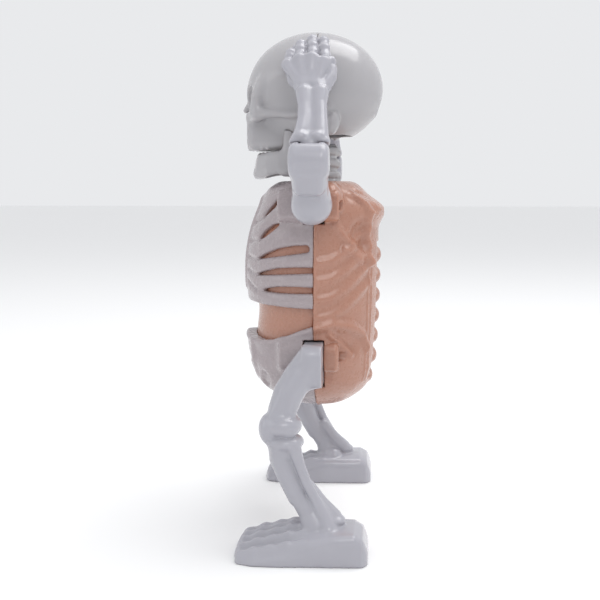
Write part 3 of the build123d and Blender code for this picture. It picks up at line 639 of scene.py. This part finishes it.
def make_rib_cage():
    """The chest moulding over the body's front half, open between the ribs."""
    clay = white_skin()
    for a, b in zip(RIB_SLOTS[:-1], RIB_SLOTS[1:]):      # each rib swells between its two slots
        middle = [((p[0] + q[0]) / 2, (p[1] + q[1]) / 2, 0.4) for p, q in zip(a[:4], b[:4])]
        clay.emboss(around(middle), 0.3, 2.6)
    # lowest rib
    clay.emboss(around([(2, 47.0, 0.4), (-20, 47.0, 0.4), (-44, 47.4, 0.4), (-60, 48.4, 0.3)]), 0.3, 2.2)
    # ribs run on to the breastbone as ridges with dips between them
    for z0, z1 in ((63.0, 62.0), (58.6, 58.2), (54.7, 55.0), (51.7, 52.4), (48.6, 50.0)):
        clay.emboss(around([(-53, z0, 0.2), (-64, (z0 + z1) / 2, 0.35), (-73, z1, 0.2)]), -0.7, 1.5)
    # breastbone, collar bone and the hollow below it
    clay.emboss(around([(-83, 66.0, 1.6), (-83, 52.0, 1.2), (-85, 49.0, 0.8)]), 0.4, 1.2)
    clay.emboss(around([(-10, 67.4, 0.5), (-40, 69.2, 0.5), (-70, 68.8, 0.6)]), 0.35, 1.6)
    clay.emboss(around([(-18, 64.6, 1.4), (-26, 62.6, 1.0)]), -0.35, 2.6)
    # lower edge, a little higher towards the front
    clay.keep(everywhere(lambda x, y, z: 45.6 + 0.04 * np.maximum(-y, 0) - z + 0 * x), 0.5)
    for slot in RIB_SLOTS:
        clay.cut(around(slot), 0.8)
    finish_overlay(clay, PIVOTS[0])
    bore_for_winding(clay, BOSS_HOLE)
    return clay


def make_pelvis():
    """The pelvis moulding over the body's front half."""
    clay = white_skin()
    # the upper edge as angle and height, from the side to the middle
    edge = [(0, 42.2), (10, 41.4), (22, 40.1), (35, 39.1), (47, 38.7), (66, 38.9), (90, 39.6)]

    def top_edge(x, y, z):
        width, front, rear = torso_at(z)
        angle = np.degrees(np.arctan2(-(y - SEAM) / front, abs(x) / width))
        return z - np.interp(angle, *np.array(edge, float).T)
    # raised rim along the edge, and the hollow of the hip bone under it
    clay.emboss(around([(2, 41.6, 0.2)] + [(-a, z - 0.6, 0.3) for a, z in edge[1:]]), 0.3, 1.4)
    clay.emboss(around([(-26, 36.4, 1.6), (-42, 35.4, 1.8), (-54, 35.6, 1.0)]), -0.5, 3.2)
    # ridges beside the middle, the dimple between them and the groove where the two bones meet
    clay.emboss(around([(-60, 38.0, 0.6), (-64, 34.4, 0.7), (-70, 31.0, 0.6)]), 0.4, 1.8)
    clay.emboss(around([(-52, 30.6, 1.3), (-60, 29.2, 1.0)]), -0.7, 1.4)
    clay.emboss(around([(-90, 34.0, 0.2), (-90, 28.0, 0.2)]), -0.6, 1.2)
    clay.emboss(around([(-72, 33.4, 0.4), (-80, 31.6, 0.5), (-84, 29.4, 0.4)]), 0.4, 1.4)
    clay.keep(everywhere(top_edge), 0.5)
    finish_overlay(clay, PIVOTS[1])
    return clay


def make_neck():
    """A column with three vertebrae."""
    clay = Clay((-4, -2, 67.0), (4, 6.4, 78.0))
    clay.add(rod_z(0, NECK_Y, NECK_R, 67.2, 70.6, 0.25), 0)
    clay.add(rod_z(0, NECK_Y, NECK_R - 0.9, 70.0, 77.8, 0.3), 0.3)
    for level in range(3):
        z = 71.5 + 2.45 * level
        clay.add(rod_z(0, NECK_Y, NECK_R - 0.25, z - 0.85, z + 0.85, 0.6), 0.35)
        for side in (-1, 1):
            clay.add(ellipsoid((side * 2.5, NECK_Y + 0.4, z), (0.85, 1.1, 0.7)), 0.4)
        clay.add(ellipsoid((0, NECK_Y + 2.6, z - 0.3), (0.7, 0.85, 0.7)), 0.4)
    return clay


# ---- skull -----------------------------------------------------------------------------------
FACE_LOW = node_box("skull_face")[0]
SKULL_ROUND, SKULL_REAR, SKULL_TOP = node_box("skull_back")[1]
SKULL_MID = np.array([0, 0.35, SKULL_TOP - SKULL_ROUND])
SKULL_LONG = SKULL_REAR - SKULL_MID[1]


def cranium(shrink=0.0):
    """The brain case, an egg lying front to back."""
    r = SKULL_ROUND - shrink
    return ellipsoid(SKULL_MID, (r, SKULL_LONG - shrink, r))


def make_skull():
    """The whole hollow skull with its upper teeth, to be parted at the seam."""
    clay = Clay((0, FACE_LOW[1], FACE_LOW[2]), (SKULL_ROUND, SKULL_REAR, SKULL_TOP), mirrored=True)
    clay.add(cranium(), 0)
    # upper jaw, face round the eyes, cheek bone, outer rim of the orbit, nose
    cheek = [(4.2, -11.8, 83.2, 1.5), (7.1, -10.3, 83.3, 1.35), (8.4, -6.6, 83.2, 1.05),
             (9.6, -2.6, 83.4, 0.8)]
    rim = [(7.1, -9.6, 89.6, 0.9), (7.5, -10.7, 86.8, 0.95), (6.9, -10.9, 84.0, 1.1)]
    nose = [(0, -12.3, 88.4, 0.9), (0, -12.6, 86.4, 0.8), (0, -13.95, 84.7, 0.55)]
    clay.add(box((-4.9, -13.3, 76.4), (4.9, -4.4, 83.6), 1.7), 1.0)
    clay.add(ellipsoid((0, -10.6, 86.8), (7.0, 2.6, 4.6)), 1.6)
    clay.add(strand(cheek), 0.9)
    clay.add(strand(rim), 1.4)
    clay.add(strand(nose), 0.5)
    # orbit and nose opening
    orbit = ellipsoid((4.3, -13.7, 86.7), (3.0, 3.6, 2.7))
    clay.cut(orbit, 0.4)
    clay.cut(ellipsoid((0.95, -13.8, 82.3), (0.85, 1.6, 1.4)), 0.2)
    # hollows: temple, below the cheek bone, and behind the upper jaw
    temple = ellipsoid((11.9, -5.8, 86.0), (2.4, 4.6, 3.6))
    clay.cut(temple, 2.2)
    clay.cut(ellipsoid((8.7, -7.6, 79.7), (2.8, 3.3, 2.5)), 2.0)
    clay.cut(box((-9, -12.0, 72), (9, -5.0, 76.35), 0.1), 0.1)
    # bump behind the ear, ridges at the back of the head
    clay.add(ellipsoid((9.0, 4.2, 81.4), (1.7, 1.5, 2.4), 12), 0.6)
    clay.add(ellipsoid((9.2, 3.4, 84.6), (1.2, 1.2, 1.2)), 0.5)
    clay.emboss(ellipsoid((0, 12.6, 83.5), (3.0, 3.0, 0.8)), 0.25, 2.0)
    # upper teeth
    for k in range(6):
        a = math.radians(9 + 17 * k)
        clay.add(ellipsoid((4.2 * math.sin(a), -9.2 - 3.95 * math.cos(a), 77.8), (0.6, 0.5, 1.35)), 0.2)
    # hollow inside, which leaves a wall round temple and orbit, and the way in for the neck
    clay.cut(both(cranium(WALL), clear_of(temple, 1.0), clear_of(orbit, 1.0)), 0.2)
    clay.cut(rod_z(0, NECK_Y, NECK_R + 2.2, 72, 82), 0.3)
    return clay


def make_jaw():
    """The horseshoe lower jaw with its teeth."""
    low, high = node_box("jaw")
    clay = Clay((0, low[1] - 1.0, 70.0), (high[0], high[1] + 0.5, high[2]), mirrored=True)
    body = [(5.7, -4.4, 74.2, 0.9), (5.6, -6.4, 74.0, 0.9), (4.6, -8.8, 73.7, 0.95), (2.6, -10.6, 73.3, 1.0),
            (0.0, -11.1, 73.1, 1.05)]
    branch = [(5.7, -4.5, 74.6, 0.9), (5.7, -4.4, 79.2, 0.8), (5.7, -4.4, 82.4, 0.6)]
    clay.add(strand(body, (1, 1, 2.5)), 0)
    clay.add(strand(branch, (1, 1.5, 1)), 0.6)
    # chin, angle of the jaw, teeth
    clay.add(ellipsoid((0, -11.5, 71.9), (2.6, 0.95, 1.3)), 0.6)
    clay.add(ellipsoid((5.6, -5.0, 72.6), (0.9, 1.6, 1.4)), 0.6)
    for k in range(6):
        a = math.radians(8 + 17 * k)
        tooth = (4.6 * math.sin(a), -6.7 - 4.4 * math.cos(a), 75.3 + 0.05 * k)
        clay.add(ellipsoid(tooth, (0.6, 0.55, 0.7)), 0.2)
    clay.cut(cranium(-0.05), 0.05)
    clay.keep(above(2, 70.7), 0.3)
    return clay


# ---- arms ------------------------------------------------------------------------------------
ELBOW_R = 3.25           # radius of the elbow's round
SOCKET = 1.75            # half width of the slot in the elbow
ROOT = 1.5               # half thickness of the forearm's root, which turns in that slot


def make_upper_arm():
    """The left shoulder knuckle, upper arm and elbow socket, with the lug for the side link."""
    low, high = node_box("left_upper_arm")
    clay = Clay(low - 0.2, high + 0.4)
    shoulder_z = SHOULDER[2]
    clay.add(rod_y(SHOULDER[0], shoulder_z, 2.7, SEAM - SLAB, SEAM + SLAB, 0.15), 0)
    clay.add(box((SHOULDER[0], SEAM - SLAB, shoulder_z - 2.2),
                 (19.0, SEAM + SLAB, shoulder_z + 2.6), 0.3), 0.1)
    clay.add(box((LINK_X - 0.9, SEAM + 0.2, shoulder_z - 1.1),
                 (12.6, SEAM + SLAB, shoulder_z + 1.1), 0.15), 0.1)
    clay.add(ellipsoid((19.9, SEAM, 65.8), (3.85, 3.85, 3.8)), 0.2)
    clay.add(bar((20.4, 66.4), (26.4, 73.4), 3.2, 2.6, 1.4), 1.2)
    clay.add(rod_y(ELBOW[0], ELBOW[2], ELBOW_R, SEAM - 3.6, SEAM + 3.6, 1.3), 0.7)
    # smooth plate over the elbow's outer face, then the socket for the forearm
    clay.add(bar((23.6, 68.9), (27.2, 73.3), 2.7, 3.1, 1.2), 0.9)
    clay.cut(rod_y(ELBOW[0], ELBOW[2], 2.55, SEAM - SOCKET, SEAM + SOCKET), 0.1)
    clay.cut(box((ELBOW[0] - 5.6, SEAM - SOCKET, ELBOW[2] + 0.4),
                 (ELBOW[0] + 1.0, SEAM + SOCKET, 82.0)), 0.1)
    # holes for the elbow pin, the shoulder post and the side link's peg
    clay.cut(rod_y(ELBOW[0], ELBOW[2], 0.82, SEAM - 3.2, SEAM + 3.2), 0.05)
    clay.cut(rod_y(SHOULDER[0], shoulder_z, POST_HOLE, -3, 5), 0.1)
    clay.cut(rod_y(LINK_X, shoulder_z, PEG_HOLE, -3, 5), 0.05)
    return clay


FINGERS = [   # knuckle and tip offsets from the seam, knuckle height, tip height, thickness
    (-5.0, -4.7, 91.8, 94.4, 1.15), (-2.7, -2.9, 92.8, 96.2, 1.2), (-0.3, -0.7, 93.0, 97.2, 1.2),
    (2.1, 1.5, 92.2, 96.9, 1.15),
]


def make_forearm():
    """The left forearm and the hand that holds the skull."""
    low, high = node_box("left_forearm")
    clay = Clay(low - (1.0, 0.8, 0.2), high + (0.6, 0.8, 0.8))
    clay.add(rod_y(ELBOW[0], ELBOW[2], 2.3, SEAM - ROOT, SEAM + ROOT, 0.2), 0)
    clay.add(strand([(ELBOW[0] - 0.3, SEAM, ELBOW[2] + 1.4, 1.3), (24.0, SEAM, 77.6, 1.35)],
                    (1, 1.1, 1)), 0.3)
    # two bones with a web between them, widest at the elbow and the wrist
    web = [(24.3, SEAM, 77.4, 1.05), (22.8, SEAM + 0.1, 79.6, 1.0), (20.6, SEAM + 0.2, 82.6, 0.95),
           (18.0, SEAM, 86.2, 1.1)]
    front_bone = [(24.4, SEAM - 1.9, 77.5, 1.5), (23.6, SEAM - 1.5, 78.9, 1.3),
                  (21.9, SEAM - 1.25, 81.2, 1.2), (20.0, SEAM - 1.3, 83.8, 1.25),
                  (18.2, SEAM - 1.6, 86.2, 1.55)]
    rear_bone = [(24.4, SEAM + 2.0, 77.5, 1.5), (23.6, SEAM + 1.9, 78.9, 1.35),
                 (21.8, SEAM + 1.75, 81.4, 1.25), (19.9, SEAM + 1.5, 84.0, 1.3),
                 (18.2, SEAM + 1.5, 86.2, 1.55)]
    clay.add(strand(web, (1, 1.9, 1)), 0.4)
    clay.add(strand(front_bone), 0.5)
    clay.add(strand(rear_bone), 0.5)
    for y in (-1.5, 1.3):
        clay.add(ellipsoid((25.1, SEAM + y, 77.9), (1.0, 1.2, 0.9)), 0.6)
    clay.add(box((22.9, SEAM - 3.6, 76.2), (26.0, SEAM + 3.6, 77.7), 0.6), 0.5)
    # palm, with a long bone to each knuckle, and the fingers over the side of the skull
    clay.add(ellipsoid((14.4, SEAM - 0.8, 89.8), (1.5, 4.4, 3.4)), 1.2)
    clay.add(both(ellipsoid((10.0, SEAM - 1.6, 93.5), (5.4, 4.1, 4.0)), cranium(-0.7)), 0.3)
    clay.add(ellipsoid((17.1, SEAM - 1.9, 87.0), (1.3, 1.5, 1.2)), 0.3)
    clay.add(ellipsoid((17.1, SEAM + 0.9, 87.2), (1.3, 1.5, 1.2)), 0.3)
    for knuckle_y, tip_y, knuckle_z, tip_z, thick in FINGERS:
        wrist = (16.9, SEAM + 0.5 * knuckle_y - 0.2, 88.0, 0.9)
        knuckle = (14.6, SEAM + knuckle_y, knuckle_z, thick)
        clay.add(strand([wrist, (16.0, SEAM + 0.75 * knuckle_y - 0.1, 90.2, 0.85), knuckle]), 1.1)
        last = knuckle
        for k in range(1, 4):
            t = k / 3
            z = knuckle_z + t * (tip_z - knuckle_z)
            skull_x = SKULL_ROUND * math.sqrt(max(1 - ((z - SKULL_MID[2]) / SKULL_ROUND) ** 2, 0.05))
            x = min(14.2, skull_x + 1.25 - 0.25 * t)
            joint = (x, SEAM + knuckle_y + t * (tip_y - knuckle_y), z, thick - 0.1 * t)
            clay.add(strand([(*last[:3], last[3] - 0.16), (*joint[:3], joint[3] - 0.16)]), 0.35)
            clay.add(ellipsoid(joint[:3], (joint[3],) * 3), 0.3)
            last = joint
    # thumb
    clay.add(strand([(16.8, SEAM + 2.0, 87.2, 1.3), (15.4, SEAM + 3.2, 89.2, 1.15),
                     (14.4, SEAM + 3.4, 90.9, 1.0)]), 0.4)
    clay.add(ellipsoid((13.9, SEAM + 3.2, 92.2), (1.0, 1.0, 1.25)), 0.25)
    # clear of the elbow's round on both sides of the root, then of the skull and the pin
    for y in (SEAM - ROOT - 2.7, SEAM + ROOT + 0.1):
        clay.cut(rod_y(ELBOW[0], ELBOW[2], ELBOW_R + 0.05, y, y + 2.6), 0.05)
    clay.cut(cranium(-0.04), 0.05)
    clay.cut(rod_y(ELBOW[0], ELBOW[2], 0.88, SEAM - 3, SEAM + 3), 0.05)
    return clay


# ---- legs ------------------------------------------------------------------------------------
LEG_LOW, LEG_HIGH = node_box("left_leg")
FOOT_X = LEG_HIGH[0] - 6.5
TOE_PITCH = 2.35
# The foot's half width, the height of its crest and the crest's drop to the outer side, along Y.
FOOT_HALF = np.array([
    (-12.9, 3.9), (-12.0, 5.6), (-9.0, 6.4), (-5.0, 6.4), (1.0, 5.9), (7.0, 5.6), (11.0, 5.3), (12.2, 4.4),
]).T
FOOT_CREST = np.array([
    (-12.9, 1.9), (-11.6, 2.9), (-8.0, 4.2), (-5.4, 4.8), (-2.6, 5.7), (1.0, 6.2), (9.6, 6.2), (11.2, 5.2),
    (12.2, 3.4),
]).T
FOOT_DROP = np.array([
    (-12.9, 0.35), (-8.0, 0.5), (-3.0, 0.48), (1.0, 0.34), (6.0, 0.1), (12.2, 0.02),
]).T


def foot_form():
    """The foot over its flat sole: five toe rays in front, a smooth block at the heel."""
    def distance(x, y, z):
        width = np.interp(y, *FOOT_HALF)
        side = (x - FOOT_X) / width
        fall = np.interp(y, *FOOT_DROP) * np.clip(side, 0, 1) ** 1.6 + 0.18 * np.clip(-side, 0, 1) ** 3
        top = np.interp(y, *FOOT_CREST) * (1 - fall)
        forward = np.clip((1.5 - y) / 4.0, 0, 1)
        ray = np.cos(2 * np.pi * (x - FOOT_X) / TOE_PITCH)
        joints = 0.5 + 0.5 * np.cos(2 * np.pi * (y + 11.6 + 0.12 * (x - FOOT_X)) / 3.1)
        top = top + forward * (0.42 * ray + 0.32 * (0.5 + 0.5 * ray) * joints - 0.26)
        edge = abs(x - FOOT_X) - width
        ends = np.maximum(-12.75 - 0.12 * ray * forward - y, y - 12.15)
        wall = corner(edge + 1.0, ends + 1.0, 1.0)
        lid = (z - top) * 0.8
        return np.maximum(np.maximum(wall, lid) + fillet(wall, lid, 1.3), -z)
    return np.array([17.4, -13.0, 0.0]), np.array([30.6, 12.3, 7.2]), distance


def leg_grid():
    """An empty grid round the left leg."""
    return Clay(LEG_LOW - 0.2, LEG_HIGH + (0.2, 0.2, 0.4))


def make_shin():
    """Plateau below the knee, tibia with its front edge, fibula, and the slope down to the heel."""
    shin = leg_grid()
    tibia = [(21.9, -4.2, 20.6, 2.7), (22.3, -4.1, 18.2, 2.3), (22.9, -2.6, 14.6, 2.0),
             (23.5, -0.9, 11.2, 1.8), (23.9, 0.9, 8.6, 2.0), (24.0, 2.2, 6.2, 2.8)]
    tibia_edge = [(21.6, -5.6, 20.6, 1.0), (21.9, -5.6, 17.8, 0.9), (22.7, -3.9, 14.0, 0.8),
                  (23.4, -2.0, 10.6, 0.8)]
    fibula = [(23.6, -1.9, 20.8, 1.4), (23.9, -0.8, 17.6, 1.0), (24.3, 0.6, 14.2, 0.95),
              (24.7, 2.4, 11.0, 1.0), (25.1, 4.0, 8.0, 1.3), (25.6, 4.8, 5.6, 1.7)]
    heel_cord = [(22.6, 1.0, 13.2, 1.0), (23.0, 3.4, 10.0, 1.2), (23.4, 5.6, 7.6, 1.5)]
    shin.add(ellipsoid((21.9, -3.7, 21.4), (3.4, 3.6, 1.7)), 0)
    shin.add(strand(tibia), 0.8)
    shin.add(strand(tibia_edge), 0.9)
    shin.add(strand(fibula), 0.45)
    shin.add(strand(heel_cord), 0.9)
    shin.add(ellipsoid((23.8, 6.2, 7.0), (1.8, 1.7, 1.0)), 0.5)
    shin.add(ellipsoid((21.4, 3.4, 5.9), (1.4, 1.7, 1.6)), 0.6)
    return shin


def make_leg():
    """The left hip knuckle, thigh, knee, shin and foot, with the lever inside the body."""
    clay = leg_grid()
    hip_z = HIP[2]
    # hip block, thigh with a ridge on its outer side, and the hollow behind it
    femur = [(18.4, SEAM - 0.7, 36.4, 2.5), (19.0, -1.2, 33.6, 2.9), (20.2, -3.2, 30.2, 2.9),
             (21.1, -4.3, 27.2, 2.7), (21.6, -4.6, 24.6, 3.0)]
    femur_ridge = [(20.3, -1.8, 35.2, 0.5), (22.4, -4.2, 30.0, 0.6), (23.2, -6.0, 26.4, 0.6)]
    clay.add(plate_y(HIP[0] - 2.2, 20.9, 30.7, 39.2, 2.0, SEAM - SLAB, SEAM + OPENING - 0.06, 0.25), 0)
    clay.add(strand(femur, (0.95, 1, 1)), 0.9)
    clay.add(strand(femur_ridge), 1.2)
    clay.cut(ellipsoid((20.2, 3.4, 28.2), (3.6, 2.4, 3.0), -18), 0.8)
    # knee with two bumps behind, then the shin, the kneecap and the foot
    clay.add(ellipsoid((21.8, -4.1, 24.5), (3.5, 3.6, 2.4)), 0.5)
    clay.add(ellipsoid((20.4, -2.9, 24.2), (1.5, 1.8, 1.9)), 0.4)
    clay.add(ellipsoid((23.4, -2.9, 24.2), (1.5, 1.8, 1.9)), 0.4)
    clay.field = np.minimum(clay.field, make_shin().field)
    clay.add(ellipsoid((21.9, -6.5, 23.7), (2.5, 2.2, 3.1), -4), 0.3)
    clay.add(foot_form(), 0.7)
    clay.keep(above(2, 0), 0)
    # hip eye and lever inside the torso
    clay.add(rod_y(HIP[0], hip_z, 2.7, SEAM - SLAB, SEAM + SLAB, 0.15), 0.1)
    fork = 1.81              # half height of the window for the crank pin
    clay.add(box((LINK_X - 0.6, SEAM - 2.3, hip_z - fork - 0.9),
                 (LINK_X + 1.4, SEAM + 2.3, hip_z + fork + 0.9), 0.15), 0.05)
    clay.cut(box((LINK_X - 2.0, SEAM - 1.5, hip_z - fork), (LINK_X + 0.6, SEAM + 1.5, hip_z + fork)), 0.05)
    clay.add(rod_y(LINK_X, hip_z, 0.95, SEAM + 1.5, SEAM + 2.3), 0.05)
    clay.add(box((LINK_X + 1.3, SEAM - 1.2, hip_z - 1.3), (11.4, SEAM + 1.2, hip_z + 1.3)), 0.05)
    clay.cut(rod_y(HIP[0], hip_z, POST_HOLE, SEAM - 3, SEAM + 3), 0.1)
    clay.cut(rod_y(LINK_X, hip_z, PEG_HOLE, SEAM + 1.4, SEAM + 3), 0.05)
    return clay


# ---- build -----------------------------------------------------------------------------------
place_piece(make_rear_shell(), "rear_shell", "torso", "torso_rear", PEACH)
place_piece(make_rib_cage(), "chest_moulding", "torso", "rib_cage", BONE)
place_piece(make_body_front(), "body_front_half", "torso", "torso_front", PEACH)
place_piece(make_pelvis(), "pelvis_moulding", "torso", "pelvis_front", BONE)
place_piece(make_neck(), "neck_bones", "torso", "neck", SKULL)

skull = make_skull()
face = skull.copy().keep(below(1, SEAM - HAIR), 0.06)
back = skull.keep(above(1, SEAM + HAIR), 0.06)
place_piece(face, "skull_front_half", "skull", "skull_face", SKULL)
place_piece(back, "skull_rear_half", "skull", "skull_back", SKULL)
place_piece(make_jaw(), "lower_jaw", "skull", "jaw", SKULL)

arm, forearm, leg = make_upper_arm(), make_forearm(), make_leg()
for side, flip in (("left", False), ("right", True)):
    place_piece(arm, f"{side}_arm_bone", f"{side}_arm", f"{side}_upper_arm", LIMB, flip)
    place_piece(forearm, f"{side}_forearm_and_hand", "skull", f"{side}_forearm", LIMB, flip)
    place_piece(leg, f"{side}_leg_bone", f"{side}_leg", f"{side}_leg", LIMB, flip)

CAD_FINISH = {
    STEEL: ["case_screws", "left_elbow_pin", "right_elbow_pin", "winding_arbor"],
    SPRING: ["mainspring"],
    MOTOR: ["motor_plate_left", "motor_plate_right", "motor_pillars"],
    LIMB: ["winding_knob"],
    GEAR: ["great_wheel", "second_wheel", "crank_shaft", "left_crank", "right_crank", "escape_wheel",
           "verge", "left_side_link", "right_side_link"],
}
for mat, names in CAD_FINISH.items():
    for name in names:
        dress(frame["nodes"][name], mat)
        frame["nodes"][name].data.shade_smooth()

# ---- stage -----------------------------------------------------------------------------------
FLOOR_HALF = 4.0         # metres
floor_corners = [(x * FLOOR_HALF, y * FLOOR_HALF, 0) for x, y in ((-1, -1), (1, -1), (1, 1), (-1, 1))]
floor_mesh = bpy.data.meshes.new("studio_floor")
floor_mesh.from_pydata(floor_corners, [], [(0, 1, 2, 3)])
floor = bpy.data.objects.new("studio_floor", floor_mesh)
bpy.context.scene.collection.objects.link(floor)
paper = bpy.data.materials.new("studio_paper")
paper.use_nodes = True
paper_shader = paper.node_tree.nodes["Principled BSDF"]
paper_shader.inputs["Base Color"].default_value = (0.93, 0.93, 0.93, 1)
paper_shader.inputs["Roughness"].default_value = 0.9
floor_mesh.materials.append(paper)

world = bpy.data.worlds.new("studio")
world.use_nodes = True
sky = world.node_tree.nodes["Background"]
sky.inputs["Color"].default_value = (0.97, 0.98, 1.0, 1)
sky.inputs["Strength"].default_value = 0.84
bpy.context.scene.world = world


def area_light(name, place, target, size, watts):
    """A square soft light aimed at a point."""
    data = bpy.data.lights.new(name, "AREA")
    data.size, data.energy = size, watts
    light = bpy.data.objects.new(name, data)
    light.location = place
    light.rotation_euler = (Vector(target) - Vector(place)).to_track_quat("-Z", "Y").to_euler()
    bpy.context.scene.collection.objects.link(light)


middle = (0, 0, 0.055)
area_light("overhead", (-0.08, 0.16, 0.52), middle, 0.34, 1.2)
area_light("camera_side", (0.45, 0.10, 0.40), middle, 0.22, 0.45)
area_light("front_fill", (0.22, -0.55, 0.28), middle, 0.30, 0.2)

CAMERA_PLACE = Vector((0.18518, 0.01376, 0.06820))
CAMERA_YAW, CAMERA_PITCH = 0.0893, 0.1209      # radians, from straight along -X
level = math.cos(CAMERA_PITCH)
ahead = Vector((-math.cos(CAMERA_YAW) * level, -math.sin(CAMERA_YAW) * level, -math.sin(CAMERA_PITCH)))
camera_data = bpy.data.cameras.new("camera")
camera_data.lens, camera_data.sensor_width = 53.56, 36.0
camera_data.clip_start = 0.005
camera = bpy.data.objects.new("camera", camera_data)
camera.location = CAMERA_PLACE
camera.rotation_euler = ahead.to_track_quat("-Z", "Y").to_euler()
bpy.context.scene.collection.objects.link(camera)
bpy.context.scene.camera = camera
bpy.context.scene.view_settings.view_transform = "Standard"
